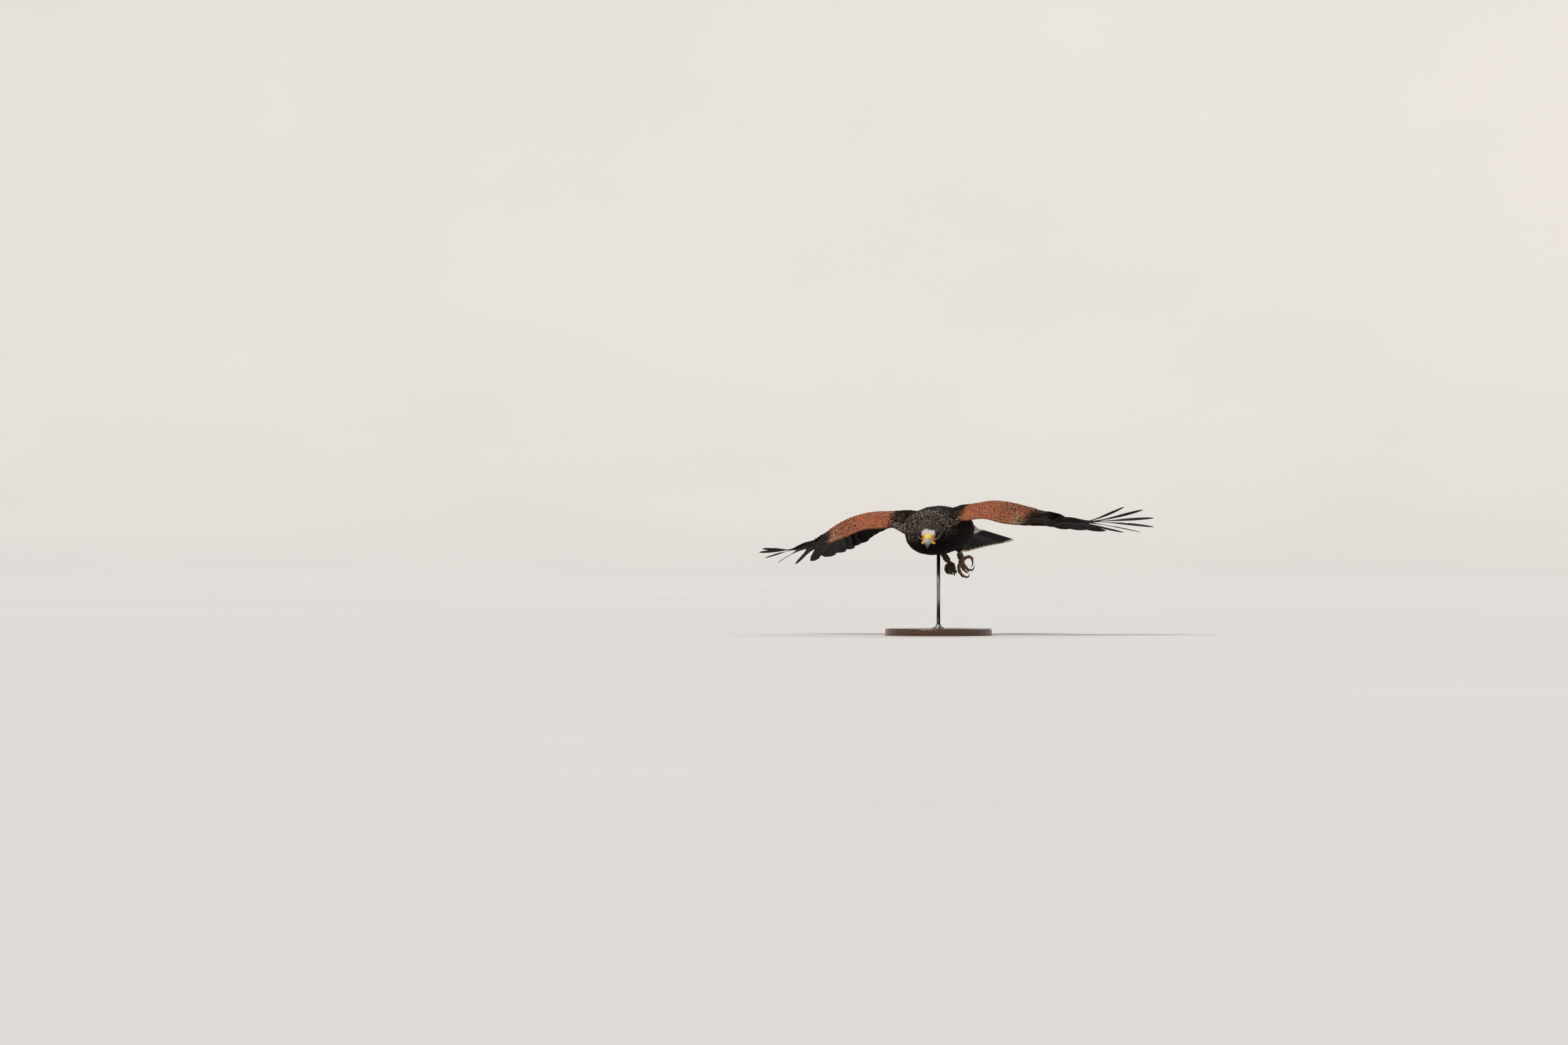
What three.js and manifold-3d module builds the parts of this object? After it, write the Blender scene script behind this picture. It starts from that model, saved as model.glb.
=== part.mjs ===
// A Harris's hawk gliding with its head lowered and its feet trailing, life size, on a plain display stand.
// Millimetres, +Z up. The origin is the middle of the stand's underside, and the bird looks along -Y.
// The bird is built in its own frame: X forward, Y to its left, Z up, from the middle between its shoulders.
import * as THREE from 'three';
import { mergeVertices } from 'three/addons/utils/BufferGeometryUtils.js';
import Module from 'manifold-3d';

const wasm = await Module();
wasm.setup();

// Driving dimensions of the pose.
const bodyHeight = 262;
const bodyTurn = THREE.MathUtils.degToRad(21);
const bodyRoll = THREE.MathUtils.degToRad(5);
const rodBehindShoulders = 45;
const gap = 0.35;
const bodySides = 18;

// Driving dimensions of the stand.
const base = { radius: 120, height: 16, edge: 3, footEdge: 1, sides: 36 };
const rod = { radius: 4, sides: 18 };
const collar = { radius: 13, flange: 3, chamfer: 0.8, shoulder: 7, height: 9, lip: 5.5 };

// Trunk sections from the neck back to the tail: forward place, half width, top and bottom.
const trunkSections = [
  { forward: 33, half: 56, top: 18, bottom: -77 },
  { forward: 20, half: 62, top: 24, bottom: -80 },
  { forward: 0, half: 66, top: 29, bottom: -82 },
  { forward: -35, half: 68, top: 31, bottom: -81 },
  { forward: -70, half: 68, top: 28, bottom: -77 },
  { forward: -105, half: 63, top: 19, bottom: -68 },
  { forward: -138, half: 50, top: 8, bottom: -57 },
  { forward: -168, half: 36, top: -2, bottom: -46 },
  { forward: -196, half: 25, top: -11, bottom: -38 },
];

// Head sections from the cere back to the nape, in the head's own frame, from the middle between the eyes.
const headSections = [
  { forward: 13, half: 8.2, top: 7.5, bottom: -10.5 },
  { forward: 9, half: 11.5, top: 11.5, bottom: -14 },
  { forward: 3, half: 17, top: 15.5, bottom: -17.5 },
  { forward: -5, half: 22.5, top: 19, bottom: -20.5 },
  { forward: -15, half: 26.5, top: 21.5, bottom: -23.5 },
  { forward: -27, half: 29, top: 22, bottom: -27 },
  { forward: -39, half: 30, top: 19, bottom: -31 },
];
const neck = { middle: -34, swell: 0.06, steps: 5 };
const headPlace = new THREE.Vector3(104, 27.8, -38.7);
const headTurn = THREE.MathUtils.degToRad(12);
const headDip = THREE.MathUtils.degToRad(25);
const headRoll = THREE.MathUtils.degToRad(-6);
const eye = { radius: 9.6, forward: -0.5, side: 13.4, up: 0.4, sides: 10, rings: 7 };
const cere = { from: 13.35, to: 24.05, height: -1.6, drop: 0.4, half: 8.1, halfUp: 8.4, taper: 1.2 };
const bill = {
  root: 24.4,
  height: -2,
  reach: 13.4,
  drop: 16.5,
  half: 6.6,
  halfUp: 7,
  turn: 1.45,
  tip: 0.6,
  sides: 10,
};
const lowerBill = { root: 13.5, length: 17.5, height: -11.2, half: 6.2, halfUp: 2.6, tip: 0.8 };
const brow = { lift: 2.6, forward: 1, reach: 11, angle: 0.72, spread: 0.34 };

// Wing stations outward from the body's midline: front edge, crest and rear edge, from above and in height.
const wingStations = [
  { span: 30, lead: 24, leadHeight: -10, crestHeight: 22, trail: -140, trailHeight: 10 },
  { span: 60, lead: 33, leadHeight: -8, crestHeight: 25, trail: -158, trailHeight: 12 },
  { span: 100, lead: 42, leadHeight: -7, crestHeight: 26, trail: -170, trailHeight: 9 },
  { span: 145, lead: 54, leadHeight: -7, crestHeight: 28, trail: -170, trailHeight: 3 },
  { span: 190, lead: 63, leadHeight: -21, crestHeight: 20, trail: -158, trailHeight: -13 },
  { span: 230, lead: 52, leadHeight: -29, crestHeight: 6, trail: -150, trailHeight: -33 },
  { span: 262, lead: 25, leadHeight: -33, crestHeight: -7, trail: -160, trailHeight: -44 },
  { span: 292, lead: -8, leadHeight: -37, crestHeight: -19, trail: -185, trailHeight: -52 },
];
const wing = {
  crestAt: 0.28,
  covertsEnd: 0.55,
  thickness: 25,
  tipThickness: 9,
  thickTo: 90,
  edge: 3.2,
  armStart: 34,
  roundFrom: 262,
  roundReach: 27,
  armEnd: 286,
  tipCore: 0.2,
  tipShare: 0.35,
  wrist: new THREE.Vector2(205, 45),
  knuckle: new THREE.Vector2(262, 5),
};
const handFrom = 0.4;
const primary = {
  count: 10,
  innerAngle: 78,
  turn: 3.2,
  turnMore: 0.345,
  innerLength: 200,
  longest: 7,
  longestLength: 306,
  outerLoss: 120,
  innerHalf: 20,
  outerHalf: 11,
  under: 7,
  sunk: 1.6,
  bow: 6,
  tipHeight: -66,
  innerRise: 28,
  fingerRise: 46,
  slotsFrom: 0.42,
  fingersFrom: 5,
  notch: 0.04,
  thickness: 1.3,
};
const secondary = { from: 38, to: 236, scallop: 20, depth: 3, thickness: 2.2, sunk: 1.2, rootShare: 0.42 };
const fingerLift = { left: 9, right: -9 };

// Tail: a fan of twelve feathers, each a little past its neighbour towards the middle.
const tail = {
  count: 12,
  root: new THREE.Vector3(-158, 0, -17),
  length: 214,
  edgeLoss: 9,
  fan: 15,
  dip: 12,
  twist: 7,
  arch: 3,
  halfRoot: 15,
  notch: 3,
  thickness: 2,
};

// Legs, in the bird's frame. The right foot is closed and the left one is half open.
const thigh = { top: [-56, 33, -50], knee: [-82, 28, -60], topHalf: 21, endHalf: 8, along: 0.25 };
const legs = {
  left: {
    side: 1,
    ankle: new THREE.Vector3(-88, 26, -66),
    palm: new THREE.Vector3(-133, 15, -97),
    toes: [
      toe([-130, 9, -108], [-133, 9, -121], [-140, 14, -132], [-149, 21, -133], [-151, 25, -122.5]),
      toe([-137, 16, -102], [-144, 20, -111], [-151, 23, -118], [-161, 30, -117], [-162, 34.5, -104.5]),
      toe([-142, 21, -90], [-153, 28, -88], [-162, 32, -94], [-166, 29, -104], [-160, 24, -112]),
      toe([-141, 11, -100], [-151, 9, -108], [-158, 10, -117], [-168, 14, -122], [-172, 17, -113]),
    ],
  },
  right: {
    side: -1,
    ankle: new THREE.Vector3(-88, -18, -66),
    palm: new THREE.Vector3(-127, -9.5, -102),
    toes: [
      toe([-121, -17.5, -105], [-119, -18.5, -115], [-125, -17, -120.5], [-134, -16, -121], [-138, -15, -113]),
      toe([-119.5, -9.5, -105], [-117, -9, -116], [-124, -8.5, -122.5], [-134, -8, -123], [-138.5, -7.5, -115]),
      toe([-121.5, -1.5, -104], [-120, 0.5, -114], [-126, 0.5, -119.5], [-135, 0.5, -120], [-139, 0, -112]),
      toe([-136, -9, -101], [-144, -9.5, -106], [-148, -9.5, -114], [-148, -9.5, -123], [-141, -9.5, -129]),
    ],
  },
};
const foot = {
  tarsus: 4.6,
  swell: 0.9,
  heelBack: 8,
  ball: 7.8,
  toe: 4.3,
  toeTaper: 0.22,
  toeEnd: 1.2,
  toeSides: 6,
};
const claw = { radius: 2.3, tip: 0.35, sides: 6 };
const anklet = { inner: 5.7, outer: 7, bevel: 0.4, length: 13, along: 0.6, sides: 12 };
const eyelet = { radius: 2.3, hole: 0.9, bevel: 0.3, thickness: 1.1, sides: 10 };
const bell = {
  radius: 6.4,
  place: new THREE.Vector3(-118, -20, -76.5),
  strapAlong: 0.34,
  strapWidth: 4,
  strapThick: 1.2,
  strapHalf: 1.4,
};

// Finishes.
const finish = {
  plumage: { color: 0x2a2320, roughness: 0.85, metalness: 0 },
  chestnut: { color: 0x7c3b20, roughness: 0.85, metalness: 0 },
  flight: { color: 0x231f1e, roughness: 0.8, metalness: 0 },
  horn: { color: 0x6d7480, roughness: 0.35, metalness: 0 },
  cere: { color: 0xe8c12c, roughness: 0.5, metalness: 0 },
  eye: { color: 0x3a1c0c, roughness: 0.1, metalness: 0 },
  skin: { color: 0xc99a22, roughness: 0.6, metalness: 0 },
  claw: { color: 0x16161a, roughness: 0.3, metalness: 0 },
  leather: { color: 0x2e1c12, roughness: 0.7, metalness: 0 },
  brass: { color: 0xb08d3a, roughness: 0.3, metalness: 1 },
  steel: { color: 0x8d9095, roughness: 0.35, metalness: 1 },
  wood: { color: 0x4a2e1c, roughness: 0.45, metalness: 0 },
};

function toe(root, knuckle, end, clawBend, clawTip) {
  return [root, knuckle, end, clawBend, clawTip].map((place) => new THREE.Vector3(...place));
}

// Solids and meshes.
function toSolid(geometry) {
  const bare = geometry.clone();
  bare.deleteAttribute('normal');
  bare.deleteAttribute('uv');
  const merged = mergeVertices(bare, 1e-4);
  return new wasm.Manifold(new wasm.Mesh({
    numProp: 3,
    vertProperties: new Float32Array(merged.attributes.position.array),
    triVerts: new Uint32Array(merged.index.array),
  }));
}

function toGeometry(solid) {
  const mesh = solid.getMesh();
  const geometry = new THREE.BufferGeometry();
  geometry.setAttribute('position', new THREE.BufferAttribute(new Float32Array(mesh.vertProperties), 3));
  geometry.setIndex(new THREE.BufferAttribute(new Uint32Array(mesh.triVerts), 1));
  return geometry;
}

// The largest piece of a cut solid, so that no loose sliver stays with it.
function largest(solid) {
  return solid.decompose().reduce((best, piece) => (piece.volume() > best.volume() ? piece : best));
}

function addPart(group, name, shape, look) {
  const geometry = shape.isBufferGeometry ? shape : toGeometry(shape);
  const flat = geometry.index ? geometry : mergeVertices(geometry);
  flat.computeVertexNormals();
  const mesh = new THREE.Mesh(flat, new THREE.MeshStandardMaterial(look));
  mesh.name = name;
  group.add(mesh);
  return mesh;
}

// A closed body through rings of points, each ring with the same count, with its faces turned outward.
function loft(rings) {
  const count = rings[0].length;
  const points = rings.flat();
  const faces = [];
  for (let i = 0; i < rings.length - 1; i += 1) {
    for (let j = 0; j < count; j += 1) {
      const a = i * count + j;
      const b = i * count + ((j + 1) % count);
      faces.push(a, b, b + count, a, b + count, a + count);
    }
  }
  for (const [start, turn] of [[0, true], [(rings.length - 1) * count, false]]) {
    const middle = new THREE.Vector3();
    for (let j = 0; j < count; j += 1) {
      middle.addScaledVector(points[start + j], 1 / count);
    }
    points.push(middle);
    for (let j = 0; j < count; j += 1) {
      const a = start + j;
      const b = start + ((j + 1) % count);
      faces.push(points.length - 1, turn ? b : a, turn ? a : b);
    }
  }
  let volume = 0;
  for (let i = 0; i < faces.length; i += 3) {
    const [a, b, c] = [points[faces[i]], points[faces[i + 1]], points[faces[i + 2]]];
    volume += a.dot(b.clone().cross(c));
  }
  if (volume < 0) {
    faces.reverse();
  }
  const geometry = new THREE.BufferGeometry();
  const numbers = points.flatMap((p) => [p.x, p.y, p.z]);
  geometry.setAttribute('position', new THREE.Float32BufferAttribute(numbers, 3));
  geometry.setIndex(faces);
  return geometry;
}

// A ring across X: an oval with its own rise and drop, slightly squared.
function ovalRing({ forward, half, top, bottom }, count, grow = 0, square = 0.92) {
  const middle = (top + bottom) / 2;
  const ring = [];
  for (let i = 0; i < count; i += 1) {
    const turn = (2 * Math.PI * i) / count;
    const across = Math.sign(Math.cos(turn)) * Math.abs(Math.cos(turn)) ** square;
    const upward = Math.sign(Math.sin(turn)) * Math.abs(Math.sin(turn)) ** square;
    const height = upward > 0 ? top - middle : middle - bottom;
    ring.push(new THREE.Vector3(forward, across * (half + grow), middle + upward * (height + grow)));
  }
  return ring;
}

// A round tube whose radius changes along a smooth curve through the given points.
function taperedTube(points, radiusAt, steps, sides) {
  const curve = new THREE.CatmullRomCurve3(points);
  const frames = curve.computeFrenetFrames(steps, false);
  const rings = [];
  for (let i = 0; i <= steps; i += 1) {
    const t = i / steps;
    const centre = curve.getPointAt(t);
    rings.push(Array.from({ length: sides }, (_, j) => {
      const turn = (2 * Math.PI * j) / sides;
      return centre.clone()
        .addScaledVector(frames.normals[i], radiusAt(t) * Math.cos(turn))
        .addScaledVector(frames.binormals[i], radiusAt(t) * Math.sin(turn));
    }));
  }
  return loft(rings);
}

// Smooth reading between stations: a cubic that follows the slope of the neighbours.
function between(stations, key, by, at) {
  const last = stations.length - 1;
  const rising = stations[last][by] > stations[0][by];
  let i = 0;
  while (i < last - 1 && (rising ? stations[i + 1][by] < at : stations[i + 1][by] > at)) {
    i += 1;
  }
  const slope = (k) => {
    const low = Math.max(k - 1, 0);
    const high = Math.min(k + 1, last);
    return (stations[high][key] - stations[low][key]) / (stations[high][by] - stations[low][by]);
  };
  const width = stations[i + 1][by] - stations[i][by];
  const t = (at - stations[i][by]) / width;
  const rise = stations[i + 1][key] - stations[i][key];
  const bend = slope(i) * width;
  const leave = slope(i + 1) * width;
  return stations[i][key] + t * bend + t * t * (3 * rise - 2 * bend - leave)
    + t * t * t * (bend + leave - 2 * rise);
}

const wingAt = (key, span) => between(wingStations, key, 'span', span);

// Height of the wing's upper face at a span and a share of the way from the front edge to the rear edge.
function wingTop(span, share) {
  const crest = wingAt('crestHeight', span);
  if (share < wing.crestAt) {
    const lead = wingAt('leadHeight', span);
    return lead + (crest - lead) * Math.sin((Math.PI / 2) * (share / wing.crestAt));
  }
  const t = (share - wing.crestAt) / (1 - wing.crestAt);
  return crest + (wingAt('trailHeight', span) - crest) * (1 - Math.cos((Math.PI / 2) * t));
}

// Thickness of the covert-clad part of the wing.
function wingDepth(span, share) {
  const outward = THREE.MathUtils.clamp((span - wing.thickTo) / (wing.armEnd - wing.thickTo), 0, 1);
  const full = THREE.MathUtils.lerp(wing.thickness, wing.tipThickness, outward);
  if (share < wing.crestAt) {
    return wing.edge + (full - wing.edge) * Math.sin((Math.PI / 2) * (share / wing.crestAt));
  }
  const t = (share - wing.crestAt) / (wing.covertsEnd - wing.crestAt);
  return wing.edge + (full - wing.edge) * Math.cos((Math.PI / 2) * Math.min(t, 1)) ** 2;
}

function wingForward(span, share) {
  return THREE.MathUtils.lerp(wingAt('lead', span), wingAt('trail', span), share);
}

function shareAt(span, forward) {
  const lead = wingAt('lead', span);
  return (lead - forward) / (lead - wingAt('trail', span));
}

// The covert-clad arm and hand of one wing.
function wingArm(side, grow = 0) {
  const shares = [0, 0.04, 0.14, 0.28, 0.41, wing.covertsEnd];
  const steps = 13;
  const rings = [];
  for (let i = 0; i <= steps; i += 1) {
    const t = i / steps;
    const span = THREE.MathUtils.lerp(wing.armStart, wing.armEnd, t);
    const taper = Math.sqrt(1 - Math.max(0, (span - wing.roundFrom) / wing.roundReach) ** 2);
    const narrow = THREE.MathUtils.lerp(wing.tipShare, 1, taper);
    const upper = [];
    const lower = [];
    for (const share of shares) {
      const reach = wing.tipCore + (share - wing.tipCore) * narrow;
      const out = (share === 0 ? grow : 0) - (share === wing.covertsEnd ? grow : 0);
      const forward = wingForward(span, reach) + out;
      const top = wingTop(span, reach);
      const under = top - wingDepth(span, share) * narrow;
      upper.push(new THREE.Vector3(forward, side * (span + (t === 1 ? grow : 0)), top + grow));
      lower.push(new THREE.Vector3(forward, side * (span + (t === 1 ? grow : 0)), under - grow));
    }
    rings.push([...upper, ...lower.reverse()]);
  }
  return toSolid(loft(rings));
}

// The secondaries of one wing as one thin plate with a scalloped rear edge.
function wingSecondaries(side) {
  const steps = Math.round(((secondary.to - secondary.from) / secondary.scallop) * 2);
  const rings = [];
  for (let i = 0; i <= steps; i += 1) {
    const span = THREE.MathUtils.lerp(secondary.from, secondary.to, i / steps);
    const notch = i % 2 === 0 ? secondary.depth : 0;
    const end = 1 - notch / (wingAt('lead', span) - wingAt('trail', span));
    const upper = [];
    const lower = [];
    for (const share of [secondary.rootShare, (secondary.rootShare + end) / 2, end]) {
      const top = wingTop(span, share) - secondary.sunk;
      upper.push(new THREE.Vector3(wingForward(span, share), side * span, top));
      lower.push(new THREE.Vector3(wingForward(span, share), side * span, top - secondary.thickness));
    }
    rings.push([...upper, ...lower.reverse()]);
  }
  return toSolid(loft(rings));
}

// Where a primary's shaft lies: number i counts from the innermost, 1, to the leading one, 10, and t runs
// from the shaft's root to its tip. The outer ones share one sheet first and then bend up apart as fingers.
function primaryShaft(side, i, t, lift) {
  const step = i - 1;
  const swing = primary.turn * step + primary.turnMore * step ** 2;
  const angle = THREE.MathUtils.degToRad(primary.innerAngle - swing);
  const inward = THREE.MathUtils.clamp(step / (primary.longest - 1), 0, 1);
  const outward = Math.max((i - primary.longest) / (primary.count - primary.longest), 0);
  const length = primary.innerLength
    + (primary.longestLength - primary.innerLength) * Math.sin((Math.PI / 2) * inward) ** 1.4
    - primary.outerLoss * outward ** 1.45;
  const across = step / (primary.count - 1);
  const root = wing.wrist.clone().lerp(wing.knuckle, across);
  const span = root.x + t * length * Math.cos(angle);
  const forward = root.y - t * length * Math.sin(angle);
  const rise = THREE.MathUtils.smoothstep(i, 6, 10);
  const rootHeight = wingTop(root.x, shareAt(root.x, root.y)) - primary.under;
  const tipHeight = primary.tipHeight + primary.innerRise * Math.max(0, (5.5 - i) / 4.5);
  const apart = Math.max(0, (t - primary.slotsFrom) / (1 - primary.slotsFrom)) ** 1.5;
  const free = THREE.MathUtils.lerp(rootHeight, tipHeight, t) + primary.bow * 4 * t * (1 - t)
    + (primary.fingerRise + lift) * rise * apart;
  const inside = Math.min(span, wing.armEnd);
  const clad = wingTop(inside, Math.min(shareAt(inside, forward), 1)) - primary.sunk;
  const leaving = THREE.MathUtils.smoothstep(t, 0.1, 0.45) * THREE.MathUtils.smoothstep(i, handFrom, 3);
  const height = THREE.MathUtils.lerp(clad, free, leaving);
  return new THREE.Vector3(forward, side * span, height);
}

// The joined inner part of the primaries: scalloped behind, and short where the fingers go on alone.
function primarySheet(side, lift) {
  const half = new THREE.Vector3(0, 0, primary.thickness / 2);
  const ring = (i, end) => {
    const line = [0.02, 0.36, 0.68, 1].map((t) => primaryShaft(side, i, t * end, lift));
    return [...line.map((p) => p.clone().add(half)), ...line.map((p) => p.clone().sub(half)).reverse()];
  };
  const rings = [ring(handFrom, 1 - primary.notch)];
  for (let i = 1; i < primary.fingersFrom; i += 1) {
    rings.push(ring(i, 1), ring(i + 0.5, 1 - primary.notch));
  }
  for (let i = primary.fingersFrom - 0.2; i < primary.count; i += 1) {
    rings.push(ring(i, primary.slotsFrom + 0.1));
  }
  rings.push(ring(primary.count + 0.35, primary.slotsFrom + 0.1));
  return toSolid(loft(rings));
}

// One free finger: the outer part of a primary as a narrow flat blade.
function primaryFinger(side, i, lift) {
  const steps = 4;
  const from = primary.slotsFrom + 0.06;
  const thin = primary.thickness / 2 - 0.15;
  const full = THREE.MathUtils.lerp(primary.innerHalf, primary.outerHalf, (i - 1) / (primary.count - 1));
  const rings = [];
  for (let k = 0; k <= steps; k += 1) {
    const t = from + (1 - from) * Math.sin((Math.PI / 2) * (k / steps));
    const centre = primaryShaft(side, i, t, lift);
    const along = primaryShaft(side, i, t + 0.01, lift).sub(centre).normalize();
    const across = new THREE.Vector3(0, 0, 1).cross(along).normalize();
    const up = along.clone().cross(across).normalize();
    const half = full * (1 - 0.38 * THREE.MathUtils.smoothstep(t, 0.45, 0.7)) * [1, 1, 1, 0.8, 0.12][k];
    const corners = [[-half, thin], [-half, -thin], [half, -thin], [half, thin]];
    rings.push(corners.map(([sideways, upward]) => (
      centre.clone().addScaledVector(across, sideways).addScaledVector(up, upward)
    )));
  }
  return toSolid(loft(rings));
}

// A wide block beyond the line where the secondaries end and the primaries begin.
function beyondHand(side) {
  const start = primaryShaft(side, handFrom, 0, 0);
  const along = primaryShaft(side, handFrom, 1, 0).sub(start);
  const width = 500;
  const block = new THREE.BoxGeometry(width, width, width);
  block.translate(0, side * (width / 2 - gap), 0);
  block.rotateZ(Math.atan2(along.y, along.x) - Math.PI);
  block.translate(start.x, start.y, start.z);
  return toSolid(block);
}

function wingPrimaries(side, lift) {
  let solid = primarySheet(side, lift);
  for (let i = primary.fingersFrom; i <= primary.count; i += 1) {
    solid = solid.add(primaryFinger(side, i, lift));
  }
  return solid;
}

// The trunk, neck and head.
function trunkSolid(grow = 0) {
  const ends = { first: trunkSections[0].forward, last: trunkSections[trunkSections.length - 1].forward };
  const steps = 12;
  const rings = [];
  for (let i = 0; i <= steps; i += 1) {
    const forward = THREE.MathUtils.lerp(ends.first, ends.last, i / steps);
    const section = { forward: forward + (i === 0 ? grow : 0) - (i === steps ? grow : 0) };
    for (const key of ['half', 'top', 'bottom']) {
      section[key] = between(trunkSections, key, 'forward', forward);
    }
    rings.push(ovalRing(section, bodySides, grow));
  }
  return toSolid(loft(rings));
}

const headFrame = new THREE.Matrix4().compose(
  headPlace,
  new THREE.Quaternion().setFromEuler(new THREE.Euler(headRoll, headDip, headTurn, 'ZYX')),
  new THREE.Vector3(1, 1, 1),
);

// One ring of the head at a place along it, with the brow standing out above each eye.
function headRing(forward) {
  const section = { forward };
  for (const key of ['half', 'top', 'bottom']) {
    section[key] = between(headSections, key, 'forward', forward);
  }
  const ring = ovalRing(section, bodySides, 0, 0.9);
  const middle = (section.top + section.bottom) / 2;
  const near = Math.exp(-(((forward - brow.forward) / brow.reach) ** 2));
  for (const point of ring) {
    const angle = Math.atan2(point.z - middle, Math.abs(point.y));
    const lift = brow.lift * near * Math.exp(-(((angle - brow.angle) / brow.spread) ** 2));
    point.y += Math.sign(point.y) * lift;
  }
  return ring;
}

function headSolid() {
  const steps = 8;
  const first = headSections[0].forward;
  const last = headSections[headSections.length - 1].forward;
  const places = Array.from({ length: steps + 1 }, (_, i) => THREE.MathUtils.lerp(first, last, i / steps));
  const rings = places.map((place) => headRing(place));
  let solid = toSolid(loft(rings));
  for (const side of [1, -1]) {
    const socket = new THREE.SphereGeometry(eye.radius + gap, eye.sides, eye.rings);
    socket.translate(eye.forward, side * eye.side, eye.up);
    solid = solid.subtract(toSolid(socket));
  }
  return largest(solid);
}

function neckSolid() {
  const back = headRing(headSections[headSections.length - 1].forward - gap);
  const headEnd = back.map((point) => point.applyMatrix4(headFrame));
  const first = trunkSections[0];
  const trunkEnd = ovalRing({ ...first, forward: first.forward + gap }, bodySides);
  const middle = new THREE.Vector3(first.forward, 0, neck.middle).add(headPlace).multiplyScalar(0.5);
  const rings = [];
  for (let i = 0; i <= neck.steps; i += 1) {
    const t = i / neck.steps;
    const swell = neck.swell * Math.sin(Math.PI * t);
    rings.push(headEnd.map((point, j) => {
      const mixed = point.clone().lerp(trunkEnd[j], t);
      return mixed.add(mixed.clone().sub(middle).multiplyScalar(swell).setX(0));
    }));
  }
  return toSolid(loft(rings));
}

// The bill: cere, hooked upper half and lower half, in the head's frame.
function billRing(forward, height, half, halfUp, tilt) {
  return Array.from({ length: bill.sides }, (_, i) => {
    const turn = (2 * Math.PI * i) / bill.sides;
    const up = Math.sin(turn) * halfUp;
    const back = up * Math.sin(tilt);
    return new THREE.Vector3(forward - back, Math.cos(turn) * half, height + up * Math.cos(tilt));
  });
}

function billUpper(grow = 0) {
  const rings = [];
  const steps = 9;
  for (let i = 0; i <= steps; i += 1) {
    const t = i / steps;
    const bend = t * t;
    const forward = bill.root + bill.reach * Math.sin((Math.PI / 2) * Math.min(t * 1.15, 1));
    const half = bill.half * (1 - t) ** 0.75 + bill.tip + grow;
    const halfUp = bill.halfUp * (1 - t) ** 0.7 + bill.tip + grow;
    rings.push(billRing(forward, bill.height - bill.drop * bend, half, halfUp, bill.turn * bend));
  }
  return toSolid(loft(rings));
}

function cereSolid(grow = 0) {
  const rings = [];
  const steps = 4;
  for (let i = 0; i <= steps; i += 1) {
    const t = i / steps;
    const forward = THREE.MathUtils.lerp(cere.from, cere.to, t);
    const less = cere.taper * t - grow;
    rings.push(billRing(forward, cere.height - cere.drop * t, cere.half - less, cere.halfUp - less, 0));
  }
  return toSolid(loft(rings));
}

function billLower() {
  const rings = [];
  const steps = 5;
  for (let i = 0; i <= steps; i += 1) {
    const t = i / steps;
    const forward = lowerBill.root + lowerBill.length * t;
    const half = lowerBill.half * (1 - t) ** 0.5 + lowerBill.tip;
    rings.push(billRing(forward, lowerBill.height + 0.6 * t, half, lowerBill.halfUp * (1 - t / 2), 0));
  }
  return toSolid(loft(rings));
}

// The tail fan as one thin sheet with a scalloped rear edge.
function tailSolid() {
  const dip = THREE.MathUtils.degToRad(tail.dip);
  const twist = Math.tan(THREE.MathUtils.degToRad(tail.twist));
  const steps = 2 * tail.count;
  const rings = [];
  for (let k = 0; k <= steps; k += 1) {
    const place = (2 * k) / steps - 1;
    const angle = THREE.MathUtils.degToRad(tail.fan * place);
    const length = tail.length - tail.edgeLoss * place * place - (k % 2 === 0 ? tail.notch : 0);
    const line = [0, 0.5, 1].map((t) => {
      const reach = t * length * Math.cos(dip);
      const across = tail.halfRoot * place + reach * Math.sin(angle);
      const sag = -tail.arch * place * place * t;
      return tail.root.clone().add(new THREE.Vector3(
        -reach * Math.cos(angle),
        across,
        -t * length * Math.sin(dip) + across * twist + sag,
      ));
    });
    const thin = new THREE.Vector3(0, 0, tail.thickness / 2);
    rings.push([...line.map((p) => p.clone().add(thin)), ...line.map((p) => p.clone().sub(thin)).reverse()]);
  }
  return toSolid(loft(rings));
}

// Thighs, feet and claws.
function thighSolid(leg, grow = 0) {
  const flip = new THREE.Vector3(1, leg.side, 1);
  const top = new THREE.Vector3(...thigh.top).multiply(flip);
  const knee = new THREE.Vector3(...thigh.knee).multiply(flip);
  const end = leg.ankle.clone().lerp(leg.palm, thigh.along);
  const radius = (t) => THREE.MathUtils.lerp(thigh.topHalf, thigh.endHalf, t) + grow;
  return toSolid(taperedTube([top, knee, end], radius, 5, 12));
}

function footSolid(leg, grow = 0) {
  const away = leg.palm.clone().sub(leg.ankle).normalize();
  const heel = leg.palm.clone().addScaledVector(away, -foot.heelBack);
  const tarsus = taperedTube(
    [leg.ankle, leg.ankle.clone().lerp(heel, 0.5), heel, leg.palm],
    (t) => foot.tarsus + foot.swell * (t > 0.9 ? 1.6 : Math.abs(t - 0.45)) + grow,
    4,
    8,
  );
  const ball = new THREE.SphereGeometry(foot.ball + grow, 8, 6);
  ball.translate(leg.palm.x, leg.palm.y, leg.palm.z);
  let solid = toSolid(tarsus).add(toSolid(ball));
  for (const [root, knuckle, end] of leg.toes) {
    const radius = (t) => foot.toe * (1 - foot.toeTaper * t) - (t === 1 ? foot.toeEnd : 0) + grow;
    solid = solid.add(toSolid(taperedTube([leg.palm, root, knuckle, end], radius, 5, foot.toeSides)));
  }
  return solid;
}

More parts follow.
